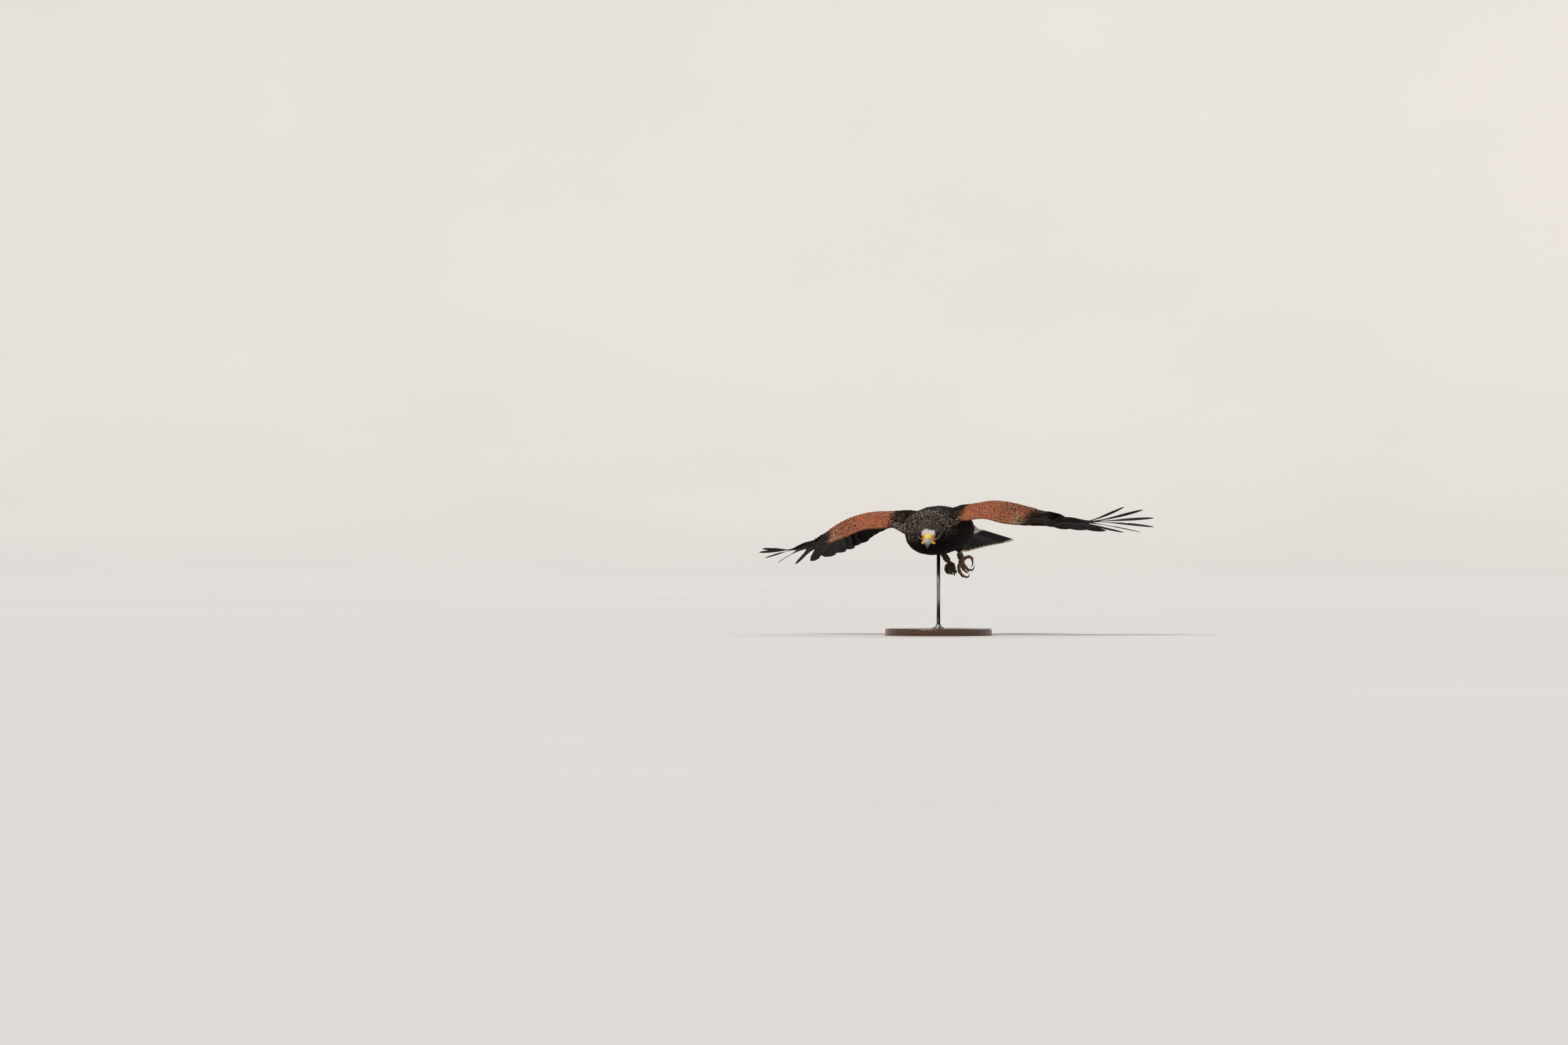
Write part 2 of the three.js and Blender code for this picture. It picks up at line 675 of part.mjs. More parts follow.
function clawSolid([, knuckle, end, bend, tip], footGrown) {
  const start = end.clone().lerp(knuckle, 0.15);
  const radius = (t) => claw.radius * (1 - t) ** 0.8 + claw.tip;
  return largest(toSolid(taperedTube([start, bend, tip], radius, 5, claw.sides)).subtract(footGrown));
}

// A closed turned shape from its half outline, standing on Z.
function turned(outline, sides) {
  const geometry = new THREE.LatheGeometry(outline.map(([r, h]) => new THREE.Vector2(r, h)), sides);
  geometry.rotateX(Math.PI / 2);
  return toSolid(geometry);
}

function pointAlong(solid, place, direction) {
  const up = new THREE.Vector3(0, 0, 1);
  const turn = new THREE.Quaternion().setFromUnitVectors(up, direction.clone().normalize());
  const frame = new THREE.Matrix4().compose(place, turn, new THREE.Vector3(1, 1, 1));
  return solid.transform(frame.elements);
}

// A ring of leather round the tarsus, with its outer edges a little worn down.
function cuff(leg, along, width, outer, bevel, sides) {
  const half = width / 2;
  const ring = turned([
    [anklet.inner, -half],
    [outer - bevel, -half],
    [outer, 0],
    [outer - bevel, half],
    [anklet.inner, half],
    [anklet.inner, -half],
  ], sides);
  return pointAlong(ring, leg.ankle.clone().lerp(leg.palm, along), leg.palm.clone().sub(leg.ankle));
}

// The anklet, with a brass eyelet on its outer side.
function addAnklet(group, name, leg) {
  const band = cuff(leg, anklet.along, anklet.length, anklet.outer, anklet.bevel, anklet.sides);
  addPart(group, `anklet_${name}`, band, finish.leather);
  const down = leg.palm.clone().sub(leg.ankle).normalize();
  const outward = new THREE.Vector3(0.35, leg.side, 0.1).projectOnPlane(down).normalize();
  const rim = turned([
    [eyelet.hole, 0],
    [eyelet.radius, 0],
    [eyelet.radius - eyelet.bevel, eyelet.thickness],
    [eyelet.hole, eyelet.thickness],
    [eyelet.hole, 0],
  ], eyelet.sides);
  const spot = leg.ankle.clone().lerp(leg.palm, anklet.along).addScaledVector(outward, anklet.outer + gap);
  addPart(group, `eyelet_${name}`, pointAlong(rim, spot, outward), finish.brass);
}

function bellSolid(grow = 0) {
  const ball = new THREE.SphereGeometry(bell.radius + grow, 12, 8);
  ball.translate(bell.place.x, bell.place.y, bell.place.z);
  return toSolid(ball);
}

// The leather strip that holds the bell: a ring round the tarsus and a short tongue.
function bellStrap(leg) {
  const ring = cuff(leg, bell.strapAlong, bell.strapWidth, anklet.inner + bell.strapThick, 0.1, 10);
  const middle = leg.ankle.clone().lerp(leg.palm, bell.strapAlong);
  const tongue = toSolid(taperedTube([middle, bell.place], () => bell.strapHalf, 1, 6));
  return largest(ring.add(tongue).subtract(footSolid(leg, gap)).subtract(bellSolid(gap)));
}

function standBase() {
  const { radius, height, edge, footEdge, sides } = base;
  return turned([
    [0, 0],
    [radius - footEdge, 0],
    [radius, footEdge],
    [radius, height - edge],
    [radius - edge, height],
    [0, height],
  ], sides);
}

function standCollar() {
  const bottom = base.height + gap;
  const inner = rod.radius + gap;
  return turned([
    [inner, bottom],
    [collar.radius, bottom],
    [collar.radius - collar.chamfer, bottom + collar.flange],
    [collar.shoulder, bottom + collar.flange],
    [collar.lip, bottom + collar.height],
    [inner, bottom + collar.height],
    [inner, bottom],
  ], rod.sides);
}

function standRod() {
  const bottom = base.height + gap;
  return turned([[0, bottom], [rod.radius, bottom], [rod.radius, bodyHeight], [0, bodyHeight]], rod.sides);
}

// Assembly.
const model = new THREE.Group();
const hawk = new THREE.Group();
const forwardAxis = new THREE.Vector3(-Math.sin(bodyTurn), -Math.cos(bodyTurn), 0);
const flatLeft = new THREE.Vector3(Math.cos(bodyTurn), -Math.sin(bodyTurn), 0);
const leftAxis = flatLeft.clone().multiplyScalar(Math.cos(bodyRoll));
leftAxis.z = Math.sin(bodyRoll);
const upAxis = forwardAxis.clone().cross(leftAxis);
hawk.quaternion.setFromRotationMatrix(new THREE.Matrix4().makeBasis(forwardAxis, leftAxis, upAxis));
hawk.position.copy(forwardAxis).multiplyScalar(rodBehindShoulders).add(new THREE.Vector3(0, 0, bodyHeight));
hawk.updateMatrixWorld(true);
model.add(hawk);

const trunkGrown = trunkSolid(gap);
addPart(hawk, 'trunk', trunkSolid(), finish.plumage);
addPart(hawk, 'neck', neckSolid(), finish.plumage);

const head = new THREE.Group();
headFrame.decompose(head.position, head.quaternion, head.scale);
hawk.add(head);
addPart(head, 'head', headSolid(), finish.plumage);
addPart(head, 'cere', cereSolid(), finish.cere);
addPart(head, 'bill_upper', billUpper(), finish.horn);
const lower = billLower().subtract(billUpper(gap)).subtract(cereSolid(gap));
addPart(head, 'bill_lower', largest(lower), finish.horn);
for (const [name, side] of [['left', 1], ['right', -1]]) {
  const shape = new THREE.SphereGeometry(eye.radius, eye.sides, eye.rings);
  const ball = addPart(head, `eye_${name}`, shape, finish.eye);
  ball.position.set(eye.forward, side * eye.side, eye.up);
}

const tailCut = largest(tailSolid().subtract(trunkGrown));
addPart(hawk, 'tail', tailCut, finish.flight);

for (const [name, side] of [['left', 1], ['right', -1]]) {
  const arm = largest(wingArm(side).subtract(trunkGrown));
  const armGrown = wingArm(side, gap);
  const armFree = wingSecondaries(side).subtract(armGrown).subtract(trunkGrown);
  const plate = largest(armFree.subtract(beyondHand(side)));
  const fingers = wingPrimaries(side, fingerLift[name]).subtract(armGrown);
  addPart(hawk, `wing_${name}_arm`, arm, finish.chestnut);
  addPart(hawk, `wing_${name}_secondaries`, plate, finish.flight);
  addPart(hawk, `wing_${name}_primaries`, largest(fingers), finish.flight);

  const leg = legs[name];
  const thighPart = largest(thighSolid(leg).subtract(trunkGrown));
  addPart(hawk, `thigh_${name}`, thighPart, finish.plumage);
  const foot = largest(footSolid(leg).subtract(thighSolid(leg, gap)).subtract(trunkGrown));
  addPart(hawk, `foot_${name}`, foot, finish.skin);
  const footGrown = footSolid(leg, gap);
  leg.toes.forEach((joints, i) => {
    addPart(hawk, `claw_${name}_${i + 1}`, clawSolid(joints, footGrown), finish.claw);
  });
  addAnklet(hawk, name, leg);
}

// The bell on its leather strip, outside the right leg.
addPart(hawk, 'bell', bellSolid(), finish.brass);
addPart(hawk, 'bell_strap', bellStrap(legs.right), finish.leather);

// The stand: a flat round base, a collar on it and one steel rod up to the belly.
const trunkInWorld = trunkGrown.transform(hawk.matrixWorld.elements);
addPart(model, 'stand_base', standBase(), finish.wood);
addPart(model, 'stand_collar', standCollar(), finish.steel);
addPart(model, 'stand_rod', largest(standRod().subtract(trunkInWorld)), finish.steel);

export default model;
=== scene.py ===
# A Harris's hawk in a slow glide, head down and feet trailing, as a museum model on a small stand.
import math

import bmesh
import bpy
import numpy as np
from mathutils.bvhtree import BVHTree
from mathutils.kdtree import KDTree
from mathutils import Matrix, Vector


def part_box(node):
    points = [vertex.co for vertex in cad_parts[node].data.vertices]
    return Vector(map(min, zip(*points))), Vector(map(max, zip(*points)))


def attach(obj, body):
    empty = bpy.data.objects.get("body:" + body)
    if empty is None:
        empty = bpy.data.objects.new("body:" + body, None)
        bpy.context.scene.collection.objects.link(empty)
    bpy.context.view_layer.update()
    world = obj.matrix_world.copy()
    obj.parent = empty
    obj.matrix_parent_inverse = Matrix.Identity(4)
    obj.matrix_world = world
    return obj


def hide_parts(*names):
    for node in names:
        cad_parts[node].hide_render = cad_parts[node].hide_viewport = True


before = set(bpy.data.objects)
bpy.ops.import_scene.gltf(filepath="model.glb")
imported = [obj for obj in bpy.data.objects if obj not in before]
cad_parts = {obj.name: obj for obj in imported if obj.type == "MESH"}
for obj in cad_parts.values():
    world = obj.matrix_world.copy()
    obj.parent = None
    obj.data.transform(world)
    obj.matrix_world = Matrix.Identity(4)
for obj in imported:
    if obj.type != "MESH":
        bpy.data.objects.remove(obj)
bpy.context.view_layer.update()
dice = np.random.default_rng(27)

# The stance. Bird points are in millimetres: X forward, Y to the bird's left and Z up, from the middle
# between the shoulders. Head points are the same way round, from the middle between the eyes.
stance = {"turn": 21, "roll": 5, "height": 262, "aheadOfRod": 45}  # degrees and millimetres
headPose = {"place": (104, 27.8, -38.7), "turn": 12, "dip": 25, "roll": -6}
upward = np.array([0, 0, 1.0])
quarter = math.pi / 2
sides = {"left": 1, "right": -1}


def unit(vectors):
    return vectors / np.maximum(np.linalg.norm(vectors, axis=-1, keepdims=True), 1e-12)


def ease(value, low, high):
    # From 0 at low to 1 at high, and so it falls where low is the greater.
    t = np.clip((np.asarray(value, float) - low) / (high - low), 0, 1)
    return t * t * (3 - 2 * t)


def mixed(a, b, share):
    return a + (b - a) * share


def mirrored(points, side):
    return np.array(points, float) * [1, side, 1]


def around(count):
    return np.linspace(0, 2 * math.pi, count, endpoint=False)


def birdAxes():
    turn, roll = math.radians(stance["turn"]), math.radians(stance["roll"])
    forward = np.array([-math.sin(turn), -math.cos(turn), 0])
    left = np.array([math.cos(turn) * math.cos(roll), -math.sin(turn) * math.cos(roll), math.sin(roll)])
    return np.array([forward, left, np.cross(forward, left)])


def turned(name, first, second):
    # The head's turn by one of its angles, in the plane of two axes.
    angle, matrix = math.radians(headPose[name]), np.eye(3)
    matrix[first, first] = matrix[second, second] = math.cos(angle)
    matrix[first, second], matrix[second, first] = -math.sin(angle), math.sin(angle)
    return matrix


axes = birdAxes()
place = axes[0] * stance["aheadOfRod"] + upward * stance["height"]
headAxes = turned("turn", 0, 1) @ turned("dip", 2, 0) @ turned("roll", 1, 2)
headPlace = np.array(headPose["place"])


def toWorld(points):
    return (np.asarray(points, float) @ axes + place) / 1000


def toBird(points):
    return (np.asarray(points, float) * 1000 - place) @ axes.T


def headToBird(points):
    return np.asarray(points, float) @ headAxes.T + headPlace


def birdToHead(points):
    return (np.asarray(points, float) - headPlace) @ headAxes


# Colours and materials
def linear(hexText):
    parts = np.array([int(hexText[i:i + 2], 16) / 255 for i in (1, 3, 5)])
    return np.where(parts <= 0.04045, parts / 12.92, ((parts + 0.055) / 1.055) ** 2.4)


def socketColour(hexText):
    return (*linear(hexText), 1)


plumage = {
    "blackBrown": "#120e0c",
    "backEdge": "#2a211b",
    "headGrey": "#2b2421",
    "headFleck": "#a0968e",
    "throat": "#0c0a09",
    "chestnut": "#a55e42",
    "chestnutDeep": "#5c2f20",
    "chestnutEdge": "#e6b796",
    "mottle": "#574739",
    "white": "#ece6da",
    "lore": "#d9b03a",
    "cream": "#dccba8",
    "flight": "#15110f",
    "flightUnder": "#191614",
    "rachis": "#080706",
}
tints = {name: linear(text) for name, text in plumage.items()}
tints["neckGrey"] = tints["headGrey"] * 1.25
tints["coverts"] = tints["blackBrown"] * 1.25


def painted(tone, tint, share):
    return mixed(tone, tints[tint], np.asarray(share)[..., None])


def link(material, source, target):
    # A node stands for its first output.
    output = source.outputs[0] if hasattr(source, "outputs") else source
    material.node_tree.links.new(output, target)


def addNode(material, kind, settings=None, links=None):
    node = material.node_tree.nodes.new("ShaderNode" + kind)
    for name, value in (settings or {}).items():
        if name == "ramp":
            for element, text in zip(node.color_ramp.elements, value):
                element.color = socketColour(text)
        elif isinstance(name, int) or name in node.inputs:
            node.inputs[name].default_value = value
        else:
            setattr(node, name, value)
    for name, source in (links or {}).items():
        link(material, source, node.inputs[name])
    return node


def newMaterial(name, settings):
    material = bpy.data.materials.new(name)
    material.use_nodes = True
    for socket, value in settings.items():
        material.node_tree.nodes["Principled BSDF"].inputs[socket].default_value = value
    return material


def objectPlace(material):
    return addNode(material, "TexCoord").outputs["Object"]


def surfaced(material, colour, shade, height, strength, depth):
    # The colour, times a shade where there is one, on a surface with a relief of so many metres.
    if shade:
        colour = addNode(material, "MixRGB", {"blend_type": "MULTIPLY", 0: 1.0}, {1: colour, 2: shade})
    relief = addNode(material, "Bump", {"Strength": strength, "Distance": depth}, {"Height": height})
    shader = material.node_tree.nodes["Principled BSDF"]
    link(material, colour, shader.inputs["Base Color"])
    link(material, relief, shader.inputs["Normal"])
    return material


barb = {  # in mm, the relief in metres: real barbs are 0.4 mm apart, too fine for a pixel
    "spacing": 0.9, "slant": 1.2, "shade": (0.86, 1.08), "strength": 0.18, "relief": 0.0002,
    "blotches": 0.35, "blotchShade": (0.82, 1.16),
}


def featherMaterial(name, look):
    material = newMaterial(name, look)
    tone = addNode(material, "Attribute", {"attribute_name": "tone"})
    vane = addNode(material, "Attribute", {"attribute_name": "vane"})
    parts = addNode(material, "SeparateXYZ", {}, {0: vane.outputs["Vector"]})
    outward = addNode(material, "Math", {"operation": "ABSOLUTE"}, {0: parts})
    slant = addNode(material, "Math", {"operation": "MULTIPLY_ADD", 1: -barb["slant"]},
                    {0: outward, 2: parts.outputs[1]})
    pitch = 2 * math.pi / barb["spacing"]
    turns = addNode(material, "Math", {"operation": "MULTIPLY", 1: pitch}, {0: slant})
    wave = addNode(material, "Math", {"operation": "SINE"}, {0: turns})
    shade = addNode(material, "MapRange", {1: -1, 2: 1, 3: barb["shade"][0], 4: barb["shade"][1]}, {0: wave})
    spread = addNode(material, "CombineXYZ", {}, {0: outward, 1: slant, 2: parts.outputs[2]})
    blotch = addNode(material, "TexNoise", {"Scale": barb["blotches"], "Detail": 2.0}, {0: spread})
    low, high = barb["blotchShade"]
    uneven = addNode(material, "MapRange", {1: 0.3, 2: 0.7, 3: low, 4: high}, {0: blotch})
    both = addNode(material, "Math", {"operation": "MULTIPLY"}, {0: shade, 1: uneven})
    return surfaced(material, tone, both, wave, barb["strength"], barb["relief"])


def tonedMaterial(name, look, cell, relief, shade=(0.85, 1.12), pattern="TexNoise"):
    # The tone of each point, varied and roughened by a pattern whose cell is given in metres.
    material = newMaterial(name, look)
    tone = addNode(material, "Attribute", {"attribute_name": "tone"})
    field = addNode(material, pattern, {"Scale": 1 / cell}, {"Vector": objectPlace(material)})
    uneven = addNode(material, "MapRange", {1: 0.2, 2: 0.8, 3: shade[0], 4: shade[1]}, {0: field})
    return surfaced(material, tone, uneven, field, 0.6, relief)


# Body feathers grown loose at their edges: matt and soft, so light catches only their tips.
coatMaterial = featherMaterial("grownBodyFeather", {"Roughness": 0.75, "Specular IOR Level": 0.04})
# Flight feathers with tightly hooked barbs: smoother, so they have a dull grey shine along the vane.
flightMaterial = featherMaterial("grownFlightFeather", {"Roughness": 0.55, "Specular IOR Level": 0.03})
# Down and quill bases under the coat: dull, and painted darker than the feathers as shade, so no gap between
# feathers shines.
skinMaterial = tonedMaterial("downUnderCoat", {"Roughness": 0.9, "Specular IOR Level": 0.2}, 0.0016, 0.0004)
# Living wax-like skin of the cere and gape: soft highlight, faintly pitted.
cereMaterial = tonedMaterial("waxyCereSkin", {"Roughness": 0.42, "Subsurface Weight": 0.1}, 0.0012, 0.0002)
# Bill horn worn smooth by use: a long soft highlight, fine growth streaks.
hornMaterial = tonedMaterial("wornBillHorn", {"Roughness": 0.28, "Coat Weight": 0.2}, 0.002, 0.00008)
# Bare skin of the lids: dry and finely wrinkled.
lidMaterial = tonedMaterial("wrinkledLidSkin", {"Roughness": 0.6}, 0.0008, 0.0002)
# Wet cornea over a brown iris: a sharp, bright highlight.
cornea = {"Roughness": 0.04, "IOR": 1.376, "Specular IOR Level": 0.3}
eyeMaterial = tonedMaterial("wetEyeCornea", cornea, 0.0012, 0.0)
# Scaled foot skin with dirt between the scales: broken dull highlights.
footMaterial = tonedMaterial("scaledFootSkin", {"Roughness": 0.55}, 0.0021, 0.0005, (0.62, 1.15),
                             "TexVoronoi")
# Claws polished by wear: near black with a sharp streak of light.
clawMaterial = tonedMaterial("polishedClawHorn", {"Roughness": 0.22, "Coat Weight": 0.3}, 0.0015, 0.00005)
# Greased falconer's leather, cut by hand: dull with a fine grain.
leatherMaterial = tonedMaterial("greasedLeather", {"Roughness": 0.6}, 0.0007, 0.00015, (0.7, 1.25))
# Cast brass handled often: warm, with dull spots.
brassMaterial = tonedMaterial("wornCastBrass", {"Roughness": 0.3, "Metallic": 1.0}, 0.003, 0.00005,
                              (0.75, 1.1))


# Meshes from arrays
def addObject(name, data):
    made = bpy.data.objects.new(name, data)
    bpy.context.scene.collection.objects.link(made)
    return made


def finished(name, mesh, material, tone):
    mesh.shade_smooth()
    if tone is not None:
        full = np.ones((len(mesh.vertices), 4), np.float32)
        full[:, :3] = tone
        mesh.color_attributes.new("tone", "FLOAT_COLOR", "POINT").data.foreach_set("color", full.ravel())
    mesh.materials.append(material)
    return addObject(name, mesh)


def meshPiece(name, points, faces, material, tone=None, vane=None, uv=None):
    mesh = bpy.data.meshes.new(name)
    mesh.from_pydata(points, [], faces)
    piece = finished(name, mesh, material, tone)
    if vane is not None:
        mesh.attributes.new("vane", "FLOAT_VECTOR", "POINT").data.foreach_set("vector", vane.ravel())
        mesh.uv_layers.new(name="OFBake").data.foreach_set("uv", uv[faces.ravel()].ravel())
    return piece


def settle(piece, slot, *nodes):
    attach(piece, "root")
    if nodes:
        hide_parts(*nodes)


def ringFaces(rows, count, closed=False):
    faces = []
    for i in range(rows if closed else rows - 1):
        a = i * count + np.arange(count)
        b = i * count + (np.arange(count) + 1) % count
        far = ((i + 1) % rows - i) * count
        faces.append(np.column_stack([a, b, b + far, a + far]))
    return np.vstack(faces)


def capFaces(middle, start, count, turn):
    a = start + np.arange(count)
    b = start + (np.arange(count) + 1) % count
    pair = (b, a) if turn else (a, b)
    return np.column_stack([np.full(count, middle), *pair]).tolist()


def withMiddles(rings):
    return np.vstack([rings.reshape(-1, 3), rings[0].mean(0), rings[-1].mean(0)])


def addBody(joined, rings):
    # A closed body through rings of points (rows, count, 3), with a middle point at each end.
    rows, count = rings.shape[:2]
    faces = ringFaces(rows, count).tolist() + capFaces(rows * count, 0, count, True)
    faces += capFaces(rows * count + 1, (rows - 1) * count, count, False)
    made = [joined.verts.new(p) for p in withMiddles(rings).tolist()]
    for face in faces:
        joined.faces.new([made[i] for i in face])


def bodyPiece(name, rings, material, tone, slot, *nodes):
    mesh = bpy.data.meshes.new(name)
    shape = bmesh.new()
    addBody(shape, toWorld(rings))
    bmesh.ops.recalc_face_normals(shape, faces=shape.faces)
    shape.to_mesh(mesh)
    shape.free()
    settle(finished(name, mesh, material, tone), slot, *nodes)


# Camera, floor and light
camera = {"distance": 20, "frameWidth": 3.528, "side": -0.3476, "height": 0.2545}  # metres
floor = {"flatRadius": 23, "wallRadius": 36, "wallHeight": 11, "bend": 2.6, "sides": 96,
         "paint": ("#cdcecf", "#d5d5d5")}
room = {"tint": "#f3f6fa", "strength": 0.4}
lights = [
    {"name": "key", "from": (-0.5, -0.75, 0.9), "softness": 24, "power": 2.7, "tint": "#fff4e6"},
    {"name": "fill", "from": (0.9, -0.6, 0.5), "softness": 60, "power": 0.3, "tint": "#e9f1ff"},
    {"name": "rim", "from": (0.3, 0.8, 0.75), "softness": 30, "power": 0.7, "tint": "#ffffff"},
]


def buildCamera():
    data = bpy.data.cameras.new("camera")
    data.sensor_width = 36
    data.lens = data.sensor_width * camera["distance"] / camera["frameWidth"]
    data.clip_end = 200
    seen = addObject("camera", data)
    seen.location = (camera["side"], -camera["distance"], camera["height"])
    seen.rotation_euler = (quarter, 0, 0)
    bpy.context.scene.camera = seen


def latheRings(outline, count):
    turn = around(count)
    return np.array([np.column_stack([r * np.cos(turn), r * np.sin(turn), np.full(count, h)])
                     for r, h in outline])


def buildFloor():
    # Matt painted studio floor that bends up into its wall: plain and pale, with no line behind the bird.
    material = newMaterial("mattStudioPaint", {"Roughness": 0.95, "Specular IOR Level": 0.1})
    field = addNode(material, "TexNoise", {"Scale": 0.6, "Detail": 3.0}, {"Vector": objectPlace(material)})
    ramp = addNode(material, "ValToRGB", {"ramp": floor["paint"]}, {0: field})
    link(material, ramp, material.node_tree.nodes["Principled BSDF"].inputs["Base Color"])
    flat, reach = floor["flatRadius"], floor["wallRadius"] - floor["flatRadius"]
    outline = [(flat * t, 0) for t in np.linspace(0.01, 1, 8)[:-1]]
    outline += [(flat + reach * t, floor["wallHeight"] * t ** floor["bend"]) for t in np.linspace(0, 1, 17)]
    rows, count = len(outline), floor["sides"]
    points = np.vstack([latheRings(outline, count).reshape(-1, 3), [[0, 0, 0]]])
    faces = ringFaces(rows, count)[:, ::-1].tolist() + capFaces(rows * count, 0, count, False)
    meshPiece("floor", points, faces, material)


def buildLights():
    world = bpy.data.worlds.new("softRoom")
    world.use_nodes = True
    world.node_tree.nodes["Background"].inputs["Color"].default_value = socketColour(room["tint"])
    world.node_tree.nodes["Background"].inputs["Strength"].default_value = room["strength"]
    bpy.context.scene.world = world
    for light in lights:
        # Very wide, far lamps: soft shadows, and the same light over the whole floor.
        data = bpy.data.lights.new(light["name"], "SUN")
        data.angle = math.radians(light["softness"])
        data.energy = light["power"]
        data.color = linear(light["tint"])
        aim = -unit(np.array(light["from"]))
        lamp = addObject(light["name"], data)
        lamp.rotation_euler = (math.acos(-aim[2]), 0, math.atan2(aim[1], aim[0]) - quarter)
    bpy.context.scene.view_settings.view_transform = "Standard"


# Shape of the wings and tail, millimetres in the bird's frame
wingStations = {
    "at": [30, 60, 100, 145, 190, 230, 262, 292],
    "lead": [24, 33, 42, 54, 63, 52, 25, -8],
    "leadHeight": [-10, -8, -7, -7, -21, -29, -33, -37],
    "crestHeight": [22, 25, 26, 28, 20, 6, -7, -19],
    "trail": [-140, -158, -170, -170, -158, -150, -160, -185],
    "trailHeight": [10, 12, 9, 3, -13, -33, -44, -52],
}
wing = {
    "crestAt": 0.28, "covertsEnd": 0.55, "thickness": 25, "tipThickness": 9, "thickTo": 90, "edge": 3.2,
    "roundFrom": 262, "roundReach": 27, "armEnd": 286, "tipCore": 0.2, "tipShare": 0.35, "nose": 3.2,
    "wrist": (205, 45), "knuckle": (262, 5), "normalStep": 1.5,
}


def wingAt(key, at):
    # A smooth curve through the stations.
    places, values = np.array(wingStations["at"], float), np.array(wingStations[key], float)
    last = len(places) - 1
    low, high = np.maximum(np.arange(last + 1) - 1, 0), np.minimum(np.arange(last + 1) + 1, last)
    slopes = (values[high] - values[low]) / (places[high] - places[low])
    at = np.clip(at, places[0], places[-1])
    i = np.clip(np.searchsorted(places, at) - 1, 0, last - 1)
    width = places[i + 1] - places[i]
    t = (at - places[i]) / width
    rise, bend, leave = values[i + 1] - values[i], slopes[i] * width, slopes[i + 1] * width
    return values[i] + t * bend + t ** 2 * (3 * rise - 2 * bend - leave) + t ** 3 * (bend + leave - 2 * rise)


def toCrest(share):
    return np.sin(quarter * np.clip(share / wing["crestAt"], 0, 1))


def wingTop(span, share):
    crest = wingAt("crestHeight", span)
    front = mixed(wingAt("leadHeight", span), crest, toCrest(share))
    t = np.clip((share - wing["crestAt"]) / (1 - wing["crestAt"]), 0, 1)
    back = mixed(crest, wingAt("trailHeight", span), 1 - np.cos(quarter * t))
    return np.where(share < wing["crestAt"], front, back)


def wingDepth(span, share):
    outward = np.clip((span - wing["thickTo"]) / (wing["armEnd"] - wing["thickTo"]), 0, 1)
    t = np.clip((share - wing["crestAt"]) / (wing["covertsEnd"] - wing["crestAt"]), 0, 1)
    full = np.where(share < wing["crestAt"], toCrest(share), np.cos(quarter * t) ** 2)
    return mixed(wing["edge"], mixed(wing["thickness"], wing["tipThickness"], outward), full)


def wingNarrow(span):
    taper = np.sqrt(np.clip(1 - (np.maximum(0, span - wing["roundFrom"]) / wing["roundReach"]) ** 2, 0, 1))
    return mixed(wing["tipShare"], 1, taper)


def wingForward(span, share):
    return mixed(wingAt("lead", span), wingAt("trail", span), share)


def shareAt(span, forward):
    lead = wingAt("lead", span)
    return (lead - forward) / (lead - wingAt("trail", span))


def wingHeight(span, forward, upper):
    inside = np.minimum(span, wing["armEnd"])
    share = np.clip(shareAt(inside, forward), 0, 1)
    top = wingTop(inside, share)
    depth = wingDepth(inside, share) * wingNarrow(inside)
    ahead = np.clip((forward - wingAt("lead", inside)) / wing["nose"], 0, 1)
    less = depth / 2 * (1 - np.sqrt(1 - ahead ** 2))  # the faces meet in front of the leading edge
    return top - less if upper else top - depth + less


def wingNormal(side, span, forward, upper):
    step = wing["normalStep"]
    outward = wingHeight(span + step, forward, upper) - wingHeight(span - step, forward, upper)
    ahead = wingHeight(span, forward + step, upper) - wingHeight(span, forward - step, upper)
    up = unit(np.stack([-ahead / (2 * step), -side * outward / (2 * step), np.ones_like(outward)], -1))
    return up if upper else -up


def leadNormal(side, out, inside):
    # Straight ahead from the leading edge, level.
    slope = (wingAt("lead", inside + 1) - wingAt("lead", inside - 1)) / 2
    return unit(np.stack([np.ones_like(out), -side * slope, 0 * out], -1))


primary = {
    "count": 10, "innerAngle": 78, "turn": 3.2, "turnMore": 0.345, "innerLength": 200, "longest": 7,
    "longestLength": 306, "outerLoss": 120, "innerHalf": 20, "outerHalf": 11, "under": 7, "sunk": 1.6,
    "rootSunk": 3.2, "bow": 6, "tipHeight": -66, "innerRise": 28, "fingerRise": 46, "slotsFrom": 0.42,
    "handFrom": 0.4, "fingerLift": {1: 9, -1: -9}, "innerLead": 0.36, "outerLead": 0.27,
}


